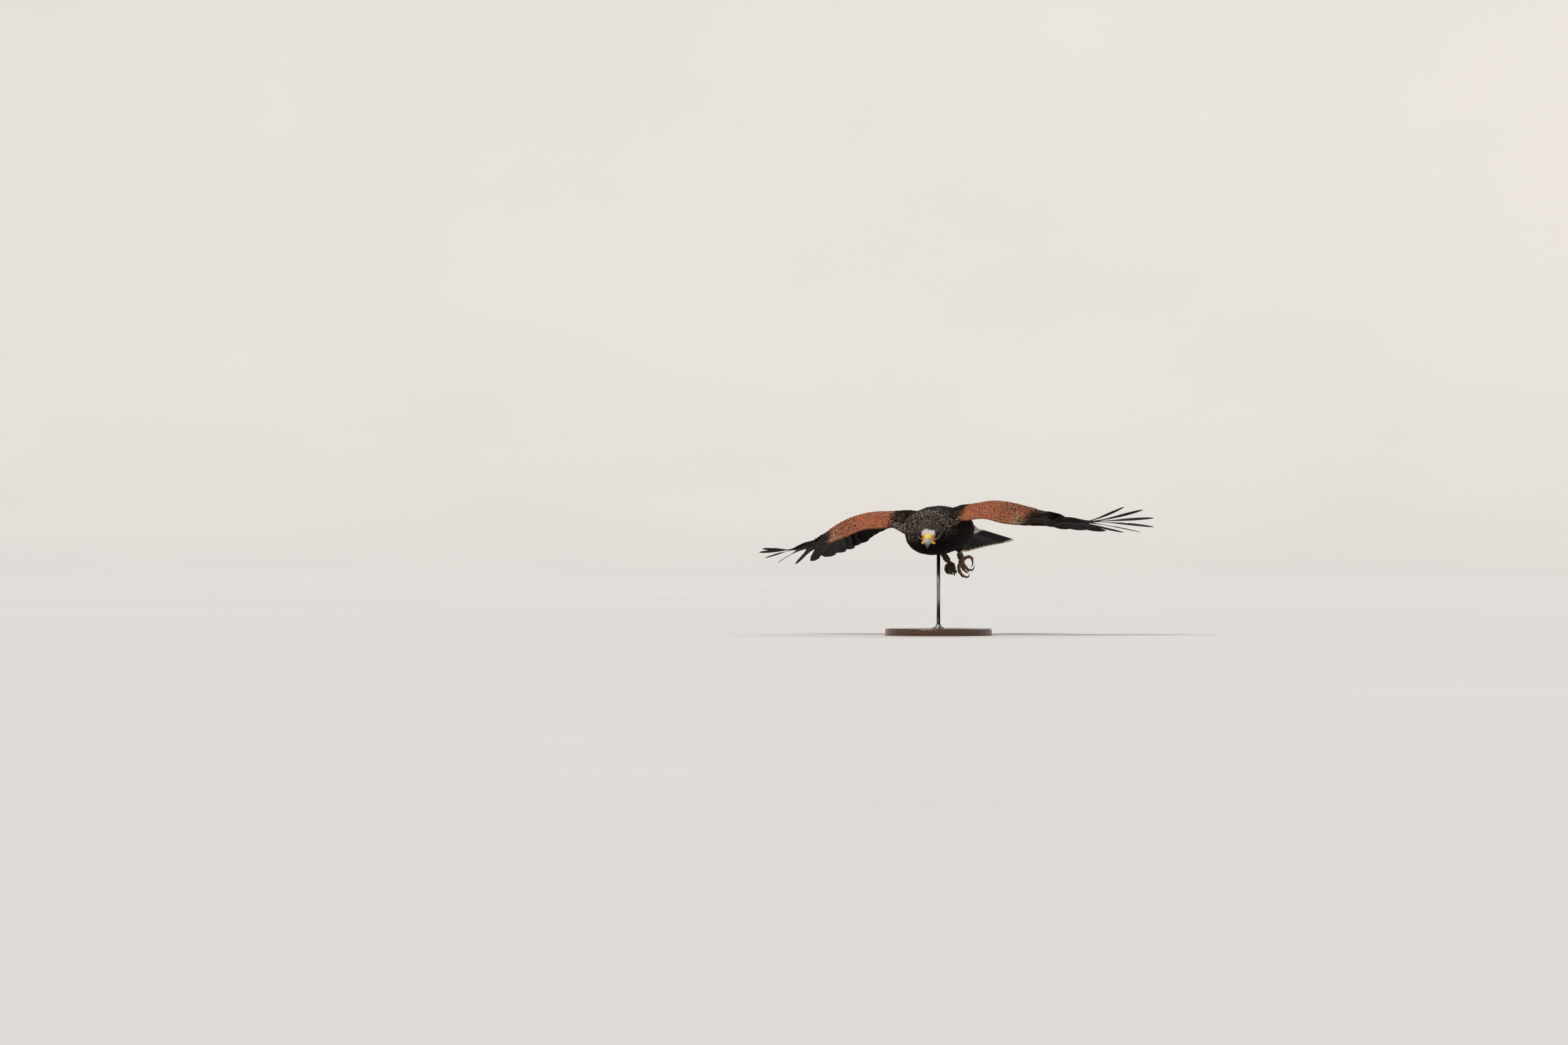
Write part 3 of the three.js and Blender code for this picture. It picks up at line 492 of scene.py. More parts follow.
def primaryShaft(side, i, t):
    step, last = i - 1, primary["count"] - 1
    angle = math.radians(primary["innerAngle"] - primary["turn"] * step - primary["turnMore"] * step ** 2)
    inward = min(max(step / (primary["longest"] - 1), 0), 1)
    outward = max((i - primary["longest"]) / (primary["count"] - primary["longest"]), 0)
    gain = primary["longestLength"] - primary["innerLength"]
    length = primary["innerLength"] + gain * math.sin(quarter * inward) ** 1.4
    length -= primary["outerLoss"] * outward ** 1.45
    root = mixed(np.array(wing["wrist"]), np.array(wing["knuckle"]), step / last)
    span, forward = root[0] + t * length * math.cos(angle), root[1] - t * length * math.sin(angle)
    rootHeight = wingTop(root[0], shareAt(root[0], root[1])) - primary["under"]
    tipHeight = primary["tipHeight"] + primary["innerRise"] * max(0, (5.5 - i) / 4.5)
    apart = np.maximum(0, (t - primary["slotsFrom"]) / (1 - primary["slotsFrom"])) ** 1.5
    free = mixed(rootHeight, tipHeight, t) + primary["bow"] * 4 * t * (1 - t)
    free = free + (primary["fingerRise"] + primary["fingerLift"][side]) * ease(i, 6, 10) * apart
    inside = np.minimum(span, wing["armEnd"])
    sunk = primary["sunk"] + primary["rootSunk"] * ease(t, 0.34, 0.1)
    clad = wingTop(inside, np.minimum(shareAt(inside, forward), 1)) - sunk
    leaving = ease(t, 0.1, 0.45) * ease(i, primary["handFrom"], 3)
    return np.stack([forward, side * span, mixed(clad, free, leaving)], -1), length


tail = {
    "count": 12, "root": (-158, 0, -17), "length": 214, "edgeLoss": 9, "fan": 15, "dip": 12, "twist": 7,
    "arch": 3, "halfRoot": 15, "half": (16.5, 14.5), "lead": (0.47, 0.3), "layer": 0.9, "whiteTo": (50, 76),
}


def tailShaft(where, t):
    dip, angle = math.radians(tail["dip"]), math.radians(tail["fan"]) * where
    length = tail["length"] - tail["edgeLoss"] * where ** 2
    reach = t * length * math.cos(dip)
    across = tail["halfRoot"] * where + reach * math.sin(angle)
    height = across * math.tan(math.radians(tail["twist"])) - tail["arch"] * where ** 2 * t
    height = height - t * length * math.sin(dip)
    return np.array(tail["root"]) + np.stack([-reach * math.cos(angle), across, height], -1), length


# Feathers: each is a closed, slightly domed leaf with a raised shaft
leafAcross = np.array([-1, -0.7, -0.35, 0, 0.35, 0.7, 1])
leafPlaces = np.array([0, 0.22, 0.45, 0.66, 0.83, 0.94, 1.0])
vaneAcross = np.array([-1, -0.72, -0.4, -0.12, 0, 0.12, 0.45, 0.75, 1])
leafShape = {  # millimetres, and shares of a feather's length or width
    "across": leafAcross, "places": leafPlaces, "blunt": 0.2, "camber": 0.08, "ridge": 0.1,
    "ridgeWidth": 0.09, "thickness": 0.25, "ragged": 0.08, "roll": 0.0, "underShade": 1.0,
}
patchSize = 0.003  # of a small feather in OFBake


def leafTemplate(rows, columns):
    grid = np.arange((rows + 1) * (columns + 1)).reshape(rows + 1, columns + 1)
    under = grid.copy()
    inner = (rows - 1) * (columns - 1)
    under[1:-1, 1:-1] = grid.size + np.arange(inner).reshape(rows - 1, columns - 1)
    top = np.stack([grid[:-1, :-1], grid[:-1, 1:], grid[1:, 1:], grid[1:, :-1]], -1).reshape(-1, 4)
    bottom = np.stack([under[:-1, :-1], under[1:, :-1], under[1:, 1:], under[:-1, 1:]], -1).reshape(-1, 4)
    return np.vstack([top, bottom]), grid.size + inner


def newPile():
    return {"points": [], "faces": [], "tone": [], "vane": [], "uv": []}


def layLeaves(pile, spine, normal, halves, tone, patch, chance, **changes):
    # spine and normal: (feathers, rows + 1, 3). halves: (feathers, rows + 1, 2), towards -side and +side.
    # tone: (feathers, rows + 1, columns + 1, 3). patch: (feathers, 4), its corner and size in OFBake.
    shape = {**leafShape, **changes}
    x, t = shape["across"], shape["places"][None, :, None]
    count, rows, columns = len(spine), spine.shape[1] - 1, len(x) - 1
    along = unit(np.gradient(spine, axis=1))
    side = unit(np.cross(along, normal))
    up = unit(np.cross(side, along))
    roll = np.asarray(shape["roll"]) * np.ones((count, 1, 1))
    side, up = side * np.cos(roll) + up * np.sin(roll), up * np.cos(roll) - side * np.sin(roll)
    reach = np.where(x < 0, halves[..., :1], halves[..., 1:]) * x
    width = halves.sum(-1)[..., None]
    length = np.linalg.norm(np.diff(spine, axis=1), axis=-1).sum(1)[:, None, None]
    ragged = shape["ragged"] * dice.random((count, 1, columns + 1)) * length
    blunt = shape["blunt"] * width * x ** 2 * ease(t, 0.5, 1) + ragged * ease(t, 0.45, 1)
    ridge = shape["ridge"] * np.exp(-(x / shape["ridgeWidth"]) ** 2)
    dome = ridge * (1 - 0.7 * t) - shape["camber"] * width * x ** 2
    middle = (spine[:, :, None] + side[:, :, None] * reach[..., None] - along[:, :, None] * blunt[..., None]
              + up[:, :, None] * dome[..., None])
    thick = shape["thickness"] / 2
    over = middle + up[:, :, None] * thick
    under = middle - up[:, :, None] * (thick + ridge[:, None])
    rim = np.ones((rows + 1, columns + 1, 1), bool)
    rim[1:-1, 1:-1] = False
    over = np.where(rim, middle, over)
    faces, size = leafTemplate(rows, columns)
    ones = np.ones_like(reach)
    uv = patch[:, None, None, :2] + np.stack([(x / 2 + 0.5) * ones, t * ones], -1) * patch[:, None, None, 2:]
    vane = np.stack([reach, t * length * ones, chance[:, None, None] * 50 * ones], -1)
    light = ease(tone.mean(-1, keepdims=True), 0.1, 0.4)  # white lets light through
    # The under face is painted darker by underShade, as painted shade; white keeps its brightness, painted
    # as light coming through it.
    underTone = tone * mixed(shape["underShade"], 1.0, light)
    offsets = sum(len(part) for part in pile["points"]) + np.arange(count) * size
    pile["faces"].append((faces[None] + offsets[:, None, None]).reshape(-1, 4))
    pairs = {"points": (over, under), "tone": (tone, underTone), "vane": (vane, vane), "uv": (uv, uv)}
    for key, (first, second) in pairs.items():
        depth = first.shape[-1]
        both = [first.reshape(count, -1, depth), second[:, 1:-1, 1:-1].reshape(count, -1, depth)]
        pile[key].append(np.concatenate(both, 1).reshape(-1, depth))


def pilePiece(name, pile, material, slot, *nodes):
    points, faces, tone, vane, uv = (np.concatenate(parts) for parts in pile.values())
    print(name, "has", len(faces) * 2, "triangles")
    settle(meshPiece(name, toWorld(points), faces, material, tone, vane, uv), slot, *nodes)


def leafOutline(t):
    rounded = np.clip(1 - (np.maximum(t - 0.5, 0) / 0.52) ** 2, 0.06, 1) ** 0.6
    return (0.4 + 0.6 * np.sin(quarter * np.minimum(t / 0.5, 1))) * rounded


def smallPatch(u, v):
    return np.column_stack([u, v * np.ones(len(u)), np.full((len(u), 2), patchSize)])


def wingPatch(span, v):
    return smallPatch(0.02 + 0.95 * (span - 40) / 260, v)


# The skin: one closed body under the whole coat
skinLook = {"voxel": 2.0, "join": 0.5, "smoothing": 14, "shade": 0.6, "wingRelax": 0.08}  # mm, mm and rounds
coatDepth = {"head": 1.3, "neck": 2.4, "trunk": 2.8, "wing": 1.3, "edge": 0.5}  # mm from the coat's face
flesh = ["trunk", "neck", "head", "thigh_left", "thigh_right", "wing_left_arm", "wing_right_arm"]
eye = {
    "radius": 9.8, "place": (-0.5, 14.4, 0.5), "gaze": (0.72, 0.69, 0.02), "lean": 0.3,
    "long": 41, "high": 29, "socket": 0.9, "reach": 15, "bulge": 0.35,
}
rolls = {  # flesh laid over the solids as round rolls: a ridge over each eye, a cheek, and a full shoulder
    "brow": {"line": [(13.4, 8.2, 6.2), (9.8, 15.6, 7.5), (3.6, 21.4, 8.7), (-7, 25, 8.6)], "radius": 4.1,
             "swell": (0.14, 0.88), "blunt": 0.5, "sides": 20},
    "cheek": {"line": [(17, 7.2, -9), (11, 11.2, -12.6), (4, 13.6, -14), (-6, 15, -12)], "radius": 4.6,
              "swell": (0.2, 0.86), "blunt": 0.6, "sides": 20},
    "shoulder": {"line": [(40, 34, -26), (37, 56, -16), (33, 76, -6), (32, 90, -5)], "radius": 12,
                 "swell": (0.3, 0.96), "blunt": 0.6, "sides": 28},
}


def cleanCopy(name, joined, grow):
    shape = bmesh.new()
    shape.from_mesh(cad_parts[name].data)
    bmesh.ops.remove_doubles(shape, verts=shape.verts, dist=1e-5)
    bmesh.ops.recalc_face_normals(shape, faces=shape.faces)
    shape.normal_update()
    for vertex in shape.verts:
        vertex.co += vertex.normal * grow / 1000
    copy = bpy.data.meshes.new("copy")
    shape.to_mesh(copy)
    shape.free()
    joined.from_mesh(copy)
    bpy.data.meshes.remove(copy)


def voxelMesh(joined, size):
    bmesh.ops.recalc_face_normals(joined, faces=joined.faces)
    rough = bpy.data.meshes.new("rough")
    joined.to_mesh(rough)
    joined.free()
    block = addObject("rough", rough)
    remesh = block.modifiers.new("remesh", "REMESH")
    remesh.mode = "VOXEL"
    remesh.voxel_size = size / 1000
    made = block.evaluated_get(bpy.context.evaluated_depsgraph_get()).to_mesh()
    points = np.zeros(len(made.vertices) * 3, np.float32)
    made.vertices.foreach_get("co", points)
    faces = np.zeros(len(made.loops), np.int32)
    made.loops.foreach_get("vertex_index", faces)
    block.to_mesh_clear()
    bpy.data.objects.remove(block)
    bpy.data.meshes.remove(rough)
    return points.reshape(-1, 3).astype(float), faces.reshape(-1, 4)


def relaxed(points, faces, rounds, share=0.5):
    a = faces.ravel()
    b = np.roll(faces, -1, axis=1).ravel()
    ends, others = np.concatenate([a, b]), np.concatenate([b, a])
    count = np.bincount(ends, minlength=len(points))[:, None]
    for _ in range(rounds):
        total = np.column_stack([np.bincount(ends, points[others, k], len(points)) for k in range(3)])
        points = points + share * (total / count - points)
    return points


def pointNormals(points, faces):
    crossing = np.cross(points[faces[:, 2]] - points[faces[:, 0]], points[faces[:, 3]] - points[faces[:, 1]])
    total = [np.bincount(faces.ravel(), np.repeat(crossing[:, k], 4), len(points)) for k in range(3)]
    return unit(np.column_stack(total))


def onHead(bird):
    return ease(bird[..., 0], 56, 78)


def onNeck(bird):
    return ease(bird[..., 0], 8, 44) * (1 - onHead(bird)) * ease(bird[..., 2], -50, -22)


markings = [  # tint, strength, region, and for each measure where it starts, where it is full, its jitter
    ("mottle", 0.7, "body",
     [("wide", 44, 66), ("z", -24, -8), ("x", 0, 22), ("x", 60, 44), ("chance", 0.1, 1)]),
    ("headGrey", 1, "head", [("up", -17, -7)]),
    ("neckGrey", 1, "neck", [("chance", -0.3, 0.8)]),
    ("throat", 1, "head", [("up", -9, -17)]),
    ("white", 0.9, "body", [("x", -138, -148, 8)]),
    ("white", 0.85, "head", [("ahead", 2.5, 6, 4), ("up", -8, -4), ("across", 15, 11)]),
    ("lore", 0.9, "head", [("ahead", 5, 8), ("up", 3.5, 1), ("up", -9, -7), ("across", 15, 13)]),
]
thighMark = {"middle": (-92, 22, -76), "reach": (17, 15, 10), "strength": 1.4, "most": 0.8}
arm = {"from": (66, 80), "least": 40}  # mm from the middle of the body, where the wing's own tones take over
patchOfChestnut = {  # mm from the middle of the body
    "from": 75, "fromRight": 84, "slant": 44, "slantTo": 0.4, "soft": 8, "jitter": 12,
    "to": 219, "endSlant": 110, "endSlantTo": 0.25, "endSoft": 9, "endJitter": 16,
}


def bodyTone(bird, chance):
    # The one plan of markings, for the skin and for the feathers that grow from it.
    head, wide = birdToHead(bird), np.abs(bird[..., 1])
    places = {"x": bird[..., 0], "wide": wide, "z": bird[..., 2], "ahead": head[..., 0],
              "across": np.abs(head[..., 1]), "up": head[..., 2], "chance": chance}
    regions = {"body": 1.0, "head": onHead(bird), "neck": onNeck(bird)}
    tone = painted(tints["blackBrown"], "backEdge", 0.55 * ease(places["z"], -45, -20) * chance)
    away = (bird * [1, 0, 1] + wide[..., None] * [0, 1, 0] - thighMark["middle"]) / thighMark["reach"]
    thigh = thighMark["strength"] * np.exp(-(away ** 2).sum(-1))
    tone = painted(tone, "chestnutDeep", np.clip(thigh, 0, thighMark["most"]))
    for tint, share, region, steps in markings:
        share = share * regions[region]
        for measure, start, full, *jitter in steps:
            share = share * ease(places[measure] + sum(jitter) * (chance - 0.5), start, full)
        tone = painted(tone, tint, share)
    side = np.where(bird[..., 1] < 0, -1, 1)
    onArm = ease(wide, *arm["from"]) * (1 - regions["head"])
    share = shareAt(np.maximum(wide, arm["least"]), places["x"])
    return mixed(tone, wingTone(wide, share, side, chance), onArm[..., None])


def wingTone(span, share, side, chance):
    mark = patchOfChestnut
    start = np.where(side > 0, mark["from"], mark["fromRight"])
    start = start + mark["slant"] * np.clip(share, 0, mark["slantTo"])
    inner = ease(span + mark["jitter"] * (chance - 0.5) - start, -mark["soft"], mark["soft"])
    end = mark["to"] + mark["endSlant"] * np.clip(share, 0, mark["endSlantTo"])
    outer = ease(span + mark["endJitter"] * (chance - 0.5) - end, mark["endSoft"], -mark["endSoft"])
    tone = painted(tints["chestnut"], "chestnutDeep", 0.55 * chance)
    dark = painted(tints["coverts"], "mottle", 0.6 * ease(chance, 0.2, 1) * ease(share, 0.2, 0.05))
    return mixed(dark, tone, (inner * outer)[..., None])


def onWing(points):
    return ease(np.abs(points[:, 1]), 64, 84) * ease(points[:, 0], 72, 62)


def buildSkin():
    joined = bmesh.new()
    for name in flesh:
        cleanCopy(name, joined, skinLook["join"])
    for side in sides.values():
        ball = sphereRings(eye["radius"] + eye["socket"], 24, 32, eyeBasis(side), 0)  # fills the socket
        addBody(joined, toWorld(headToBird(ball + mirrored(eye["place"], side))))
        for name, roll in rolls.items():
            radii = roll["radius"] * np.sin(math.pi * np.linspace(*roll["swell"], 24)) ** roll["blunt"]
            rings = tube(smoothLine(mirrored(roll["line"], side), 24), radii, roll["sides"])
            addBody(joined, toWorld(rings if name == "shoulder" else headToBird(rings)))
    points, faces = voxelMesh(joined, skinLook["voxel"])
    points = toBird(points)
    share = mixed(0.5, skinLook["wingRelax"], onWing(points))
    points = relaxed(points, faces, skinLook["smoothing"], share[:, None])
    normal, x = pointNormals(points, faces), points[:, 0]
    depth = mixed(coatDepth["trunk"], coatDepth["neck"], ease(x, 25, 45))
    depth = mixed(depth, coatDepth["head"], ease(x, 60, 85))
    behind = wingAt("lead", np.abs(points[:, 1])) - x
    wingDeep = mixed(coatDepth["edge"], coatDepth["wing"], ease(behind, 1, 10))  # the edge is thin already
    depth = mixed(depth, wingDeep, onWing(points))
    points = points - normal * depth[:, None]
    # The skin carries the coat's markings darkened by the skin's shade share: painted shade in the gaps
    # between feathers.
    tone = bodyTone(points, np.full(len(points), 0.5)) * skinLook["shade"]
    piece = meshPiece("skin", toWorld(points), faces, skinMaterial, tone)
    bpy.context.view_layer.objects.active = piece
    piece.select_set(True)
    piece.data.uv_layers.new(name="OFBake")
    bpy.ops.object.mode_set(mode="EDIT")
    bpy.ops.mesh.select_all(action="SELECT")
    bpy.ops.uv.smart_project(angle_limit=math.radians(66), island_margin=0.002)
    bpy.ops.object.mode_set(mode="OBJECT")
    uv = np.zeros(faces.size * 2, np.float32)
    piece.data.uv_layers["OFBake"].data.foreach_get("uv", uv)
    settle(piece, "plumage", *flesh)
    print("skin has", len(faces) * 2, "triangles")
    return {"points": points, "faces": faces, "uv": uv.reshape(-1, 4, 2).mean(1),
            "tree": BVHTree.FromPolygons(points.tolist(), faces.tolist())}


# Body coat
coat = {  # places and lengths in millimetres, and shares of a feather's length
    "headPlace": [-48, -26, -10, 0, 8, 13],
    "headLength": [14, 10.5, 7.5, 5.5, 4.4, 4],
    "bodyPlace": [-168, -148, -122, -60, 0, 24, 44, 62],
    "bodyLength": [13, 19, 28, 28, 23, 16, 13.5, 12],
    "mantleMore": 7, "shoulderLength": 12, "widthShare": 0.5, "bristleWidth": 0.36,
    "spacingShare": 0.21, "headSpacing": 0.27, "thickness": 0.22, "ragged": 0.13,
    "tries": 140000, "headCrowd": 9, "wingFrom": 66, "wingAhead": 62, "shoulderTo": 98, "shoulderAhead": 5,
    "tailFrom": -163, "bulge": 0.5, "root": 0.4, "lift": 0.085, "mostLift": 2.9, "headLift": 0.1,
    "cereFrom": 12.2, "cereRadius": 10.5, "cereHeight": -1.5, "eyeMargin": 1.3, "eyeReach": 1.12,
}
zoneEdges = {"crown": -13, "neck": 20, "belly": -20}  # mm: head X, bird X and bird Z


def eyeBasis(side):
    gaze = unit(mirrored(eye["gaze"], side))
    up = np.array([eye["lean"], 0, 1.0])  # the front corner of the eye is lower
    up = unit(up - gaze * (up @ gaze))
    return gaze, np.cross(up, gaze), up


def inEye(head, margin):
    # True where a head point lies over the open part of either eye.
    found = np.zeros(head.shape[:-1], bool)
    for side in sides.values():
        gaze, along, up = eyeBasis(side)
        out = head - mirrored(eye["place"], side)
        near = np.linalg.norm(out, axis=-1) < eye["reach"]
        out = unit(out)
        oval = ((out @ along) / math.sin(math.radians(eye["long"]))) ** 2
        oval = oval + ((out @ up) / math.sin(math.radians(eye["high"]))) ** 2
        found |= near & (out @ gaze > 0) & (oval < margin ** 2)
    return found


def nearest(tree, points):
    found = [tree.find_nearest(p) for p in points.tolist()]
    return np.array([f[0] for f in found]), np.array([f[1] for f in found])


def coatFlow(bird, normal):
    fromBill = unit(bird - headToBird([34, 0, -7]))
    outward = ease(np.abs(bird[:, 1]), 36, 54) * ease(bird[:, 0], 2, 18)  # along the shoulder
    sideways = np.sign(bird[:, 1]) * (0.05 + outward)
    fall = np.stack([0.5 * outward - 1, sideways, np.full(len(bird), -0.1)], -1)
    flow = mixed(fall, fromBill, onHead(bird)[:, None])
    return unit(flow - normal * (flow * normal).sum(-1, keepdims=True))


def scatter(skin):
    points, faces = skin["points"], skin["faces"]
    corners = points[faces]
    crossing = np.cross(corners[:, 2] - corners[:, 0], corners[:, 3] - corners[:, 1])
    middle = corners.mean(1)
    span, ahead = np.abs(middle[:, 1]), middle[:, 0]
    over = middle[:, 2] - wingHeight(span, ahead, True)
    under = wingHeight(span, ahead, False) - middle[:, 2]
    outside = np.maximum(np.maximum(over, under), ahead - wingAt("lead", span))  # the wing's own faces
    bulge = outside > coat["bulge"]
    keep = (span < coat["wingFrom"]) | (ahead > coat["wingAhead"])
    keep |= bulge & (span < coat["shoulderTo"]) & (ahead > coat["shoulderAhead"])
    keep &= ahead > coat["tailFrom"]
    crowd = 1 + coat["headCrowd"] * ease(ahead, 60, 90)  # smaller feathers on the head need more tries
    weight = np.linalg.norm(crossing, axis=1) * keep * crowd
    chosen = dice.choice(len(faces), coat["tries"], p=weight / weight.sum())
    a, b = dice.random((2, coat["tries"], 1))
    quad = corners[chosen]
    spots = mixed(mixed(quad[:, 0], quad[:, 1], a), mixed(quad[:, 3], quad[:, 2], a), b)
    return spots, unit(pointNormals(points, faces)[faces[chosen]].mean(1)), skin["uv"][chosen]


def coatSize(bird):
    head, x, wide, onBird = birdToHead(bird), bird[:, 0], np.abs(bird[:, 1]), onHead(bird)
    onBody = np.interp(x, coat["bodyPlace"], coat["bodyLength"])
    mantle = ease(bird[:, 2], 0, 14) * ease(wide, 34, 50) * ease(x, 30, 0)
    onShoulder = ease(wide, 44, 60) * ease(x, 4, 20)
    onBody = mixed(onBody + coat["mantleMore"] * mantle, coat["shoulderLength"], onShoulder)
    length = mixed(onBody, np.interp(head[:, 0], coat["headPlace"], coat["headLength"]), onBird)
    return length, length * mixed(coat["spacingShare"], coat["headSpacing"], onBird)


def thinned(spots, spacing):
    tree = KDTree(len(spots))
    for i, spot in enumerate(spots.tolist()):
        tree.insert(spot, i)
    tree.balance()
    free = np.ones(len(spots), bool)
    kept = []
    for i, spot in enumerate(spots.tolist()):
        if free[i]:
            kept.append(i)
            for found in tree.find_range(spot, spacing[i]):
                free[found[1]] = False
    return np.array(kept)


def spinesOnSkin(skin, spots, normals, length, lift):
    spine, up = [spots - normals * coat["root"]], [normals]
    here, facing = spots, normals
    for before, step in zip(leafPlaces, leafPlaces[1:]):
        ahead = here + coatFlow(here, facing) * (length * (step - before))[:, None]
        here, facing = nearest(skin["tree"], ahead)
        facing = unit(facing + up[-1])
        spine.append(here + facing * (lift * step ** 1.2 - coat["root"] * (1 - step))[:, None])
        up.append(facing)
    return np.stack(spine, 1), np.stack(up, 1)


def coatTones(spots, chance):
    head, x = birdToHead(spots), leafAcross[None, None, :]
    t = leafPlaces[None, :, None]
    base = bodyTone(spots, chance)[:, None, None, :] * np.ones((1, len(leafPlaces), len(leafAcross), 1))
    chance = chance[:, None, None]
    edge = ease(np.abs(x) + 0.5 * t, 0.9, 1.4) * ease(t, 0.5, 1)
    notWhite = ease(spots[:, 0], -150, -136)[:, None, None]
    tone = painted(base, "backEdge", 0.45 * edge * notWhite)
    grey = 0.72 * (onHead(spots) * ease(head[:, 2], -16, -7)) + 1.2 * onNeck(spots)
    narrow = mixed(0.3, 0.42, onHead(spots))[:, None, None]
    streak = np.exp(-(x / narrow) ** 2) * ease(t, 0.4, 0.8) * ease(chance, 0.15, 0.9)
    tone = painted(tone, "headFleck", np.clip(0.75 * grey[:, None, None] * streak, 0, 1))
    return tone * (0.88 + 0.24 * chance)[..., None]


def buildCoat(skin):
    spots, normals, uv = scatter(skin)
    length, spacing = coatSize(spots)
    kept = thinned(spots, spacing)
    spots, normals, uv, length = spots[kept], normals[kept], uv[kept], length[kept]
    length = length * dice.uniform(0.88, 1.12, len(length))
    head = birdToHead(spots)
    onCere = np.hypot(head[:, 1], head[:, 2] - coat["cereHeight"]) < coat["cereRadius"]
    onCere &= head[:, 0] > coat["cereFrom"]
    free = ~inEye(head, coat["eyeMargin"]) & ~onCere & ~nearGape(spots, skin)
    spots, normals, uv, length = spots[free], normals[free], uv[free], length[free]
    lift = np.minimum(coat["lift"] * length, coat["mostLift"])
    lift = mixed(lift, coat["headLift"] * length, onHead(spots))
    spine, up = spinesOnSkin(skin, spots, normals, length, lift)
    # False where the lie jumped to the other side of a thin edge.
    steady = (up[:, 1:] * up[:, :1]).sum(-1).min(1) > np.where(spots[:, 0] > 4, -0.2, 0.5)
    free = steady & ~inEye(birdToHead(spine), coat["eyeReach"]).any(1)
    spine, up, spots, uv, length = spine[free], up[free], spots[free], uv[free], length[free]
    chance = dice.random(len(spots))
    ahead, onSkull = birdToHead(spots)[:, 0], onHead(spots)
    widthShare = mixed(coat["widthShare"], coat["bristleWidth"], onSkull * ease(ahead, 3, 8))
    width = length * widthShare * dice.uniform(0.9, 1.1, len(length))
    halves = (width[:, None] / 2 * leafOutline(leafPlaces))[..., None] * np.ones(2)
    tone = coatTones(spots, chance)
    patch = smallPatch(uv[:, 0] - patchSize / 2, uv[:, 1] - patchSize / 2)
    headed, front = onSkull > 0.5, spots[:, 0] > zoneEdges["neck"]
    zones = {
        "face": headed & (ahead > zoneEdges["crown"]),
        "crown": headed & (ahead <= zoneEdges["crown"]),
        "neck": ~headed & front,
        "back": ~front & (spots[:, 2] > zoneEdges["belly"]),
        "belly": ~front & (spots[:, 2] <= zoneEdges["belly"]),
    }
    for zone, mask in zones.items():
        pile = newPile()
        layLeaves(pile, spine[mask], up[mask], halves[mask], tone[mask], patch[mask], chance[mask],
                  blunt=0.25, ridge=0.0, thickness=coat["thickness"], ragged=coat["ragged"],
                  roll=dice.normal(0, 0.08, (mask.sum(), 1, 1)))
        pilePiece("coat_" + zone, pile, coatMaterial, "plumage")


# Wing coverts in rows, on the upper and the lower face
rowKeys = ("share", "length", "width", "step", "root", "to")  # of the chord, then millimetres
covertRows = [dict(zip(rowKeys, row)) for row in (
    (-0.014, 11, 6.4, 3.6, 0.8, 284),
    (0.008, 12, 6.8, 4.2, 0.3, 284),
    (0.032, 13, 7, 4.7, -0.7, 284),
    (0.058, 14, 7.5, 5, -0.7, 284),
    (0.083, 15, 8, 5.4, -0.7, 284),
    (0.109, 16, 8.5, 5.7, -0.7, 284),
    (0.136, 17, 9, 6, -0.7, 284),
    (0.164, 18, 9.5, 6.4, -0.7, 281),
    (0.193, 20, 10.5, 7, -0.7, 278),
    (0.223, 22, 11.5, 7.6, -0.7, 273),
    (0.255, 27, 13.5, 8.6, -0.7, 267),
    (0.29, 34, 15.5, 9.6, -0.7, 256),
    (0.35, 54, 19, 11.5, -0.7, 240),  # the greater coverts, dark like the quills
)]
covert = {
    "from": 60, "inner": (62, 86), "outer": (30, 46), "turnFrom": 150, "turnTo": 280, "lift": 1.5,
    "roll": 0.06, "frontStep": 3.6, "frontLength": 13, "frontHalf": 3.7, "frontTurns": (-48, 48, 0),
    "frontSpread": 26, "frontAhead": 1.9, "frontUp": 1.7, "wristHighlight": (212, 12), "scalloped": (140, 200),
}


def covertAngle(span, share):
    # From the front edge to the rear, the feathers turn from slantwise to straight back.
    outer = ease(span, covert["turnFrom"], covert["turnTo"])
    back = np.clip(share / 0.3, 0, 1)
    return np.radians(mixed(mixed(*covert["inner"], back), mixed(*covert["outer"], back), outer))


def covertTones(share, side, span, upper, chance):
    base = wingTone(span, np.full(len(span), share), side, chance)
    if share == covertRows[-1]["share"]:
        base = mixed(base, tints["flight" if upper else "flightUnder"], 0.9)
    t, x = leafPlaces[None, :, None], leafAcross[None, None, :]
    tone = base[:, None, None, :] * np.ones((1, len(leafPlaces), len(leafAcross), 1))
    chance, span = chance[:, None, None], span[:, None, None]
    shaft = np.exp(-(x / 0.3) ** 2) * ease(t, 0.2, 0.5) + 0.8 * ease(t, 0.62, 0.3)
    tone = painted(tone, "rachis", np.clip(0.65 * shaft * ease(chance, -0.2, 0.9), 0, 1))
    if upper:
        scalloped = ease(span + 30 * (chance - 0.5), *covert["scalloped"]) * (0.45 + 0.55 * chance)
        tone = painted(tone, "flight", 0.9 * np.exp(-(x / 0.7) ** 2) * ease(t, 0.95, 0.7) * scalloped)
    edge = np.clip(ease(np.abs(x), 0.5, 1) * ease(t, 0.3, 0.7) + ease(t, 0.8, 1), 0, 1)
    ends = patchOfChestnut["to"] + patchOfChestnut["endSlant"] * min(share, patchOfChestnut["endSlantTo"])
    chestnut = ease(span, 76, 92) * ease(span, ends + 10, ends - 8)
    pale = 0.04 + 0.6 * chestnut + 0.2 * ease(share, 0.06, 0.0)
    tone = painted(tone, "chestnutEdge", edge * pale * ease(chance, 0.1, 1.0))
    # Cream painted at the bend of the wing, on the front rows: a painted highlight.
    middle, reach = covert["wristHighlight"]
    wristHighlight = ease(share, 0.12, 0.05) * np.exp(-((span - middle) / reach) ** 2) * edge
    return painted(tone, "cream", 0.8 * wristHighlight)


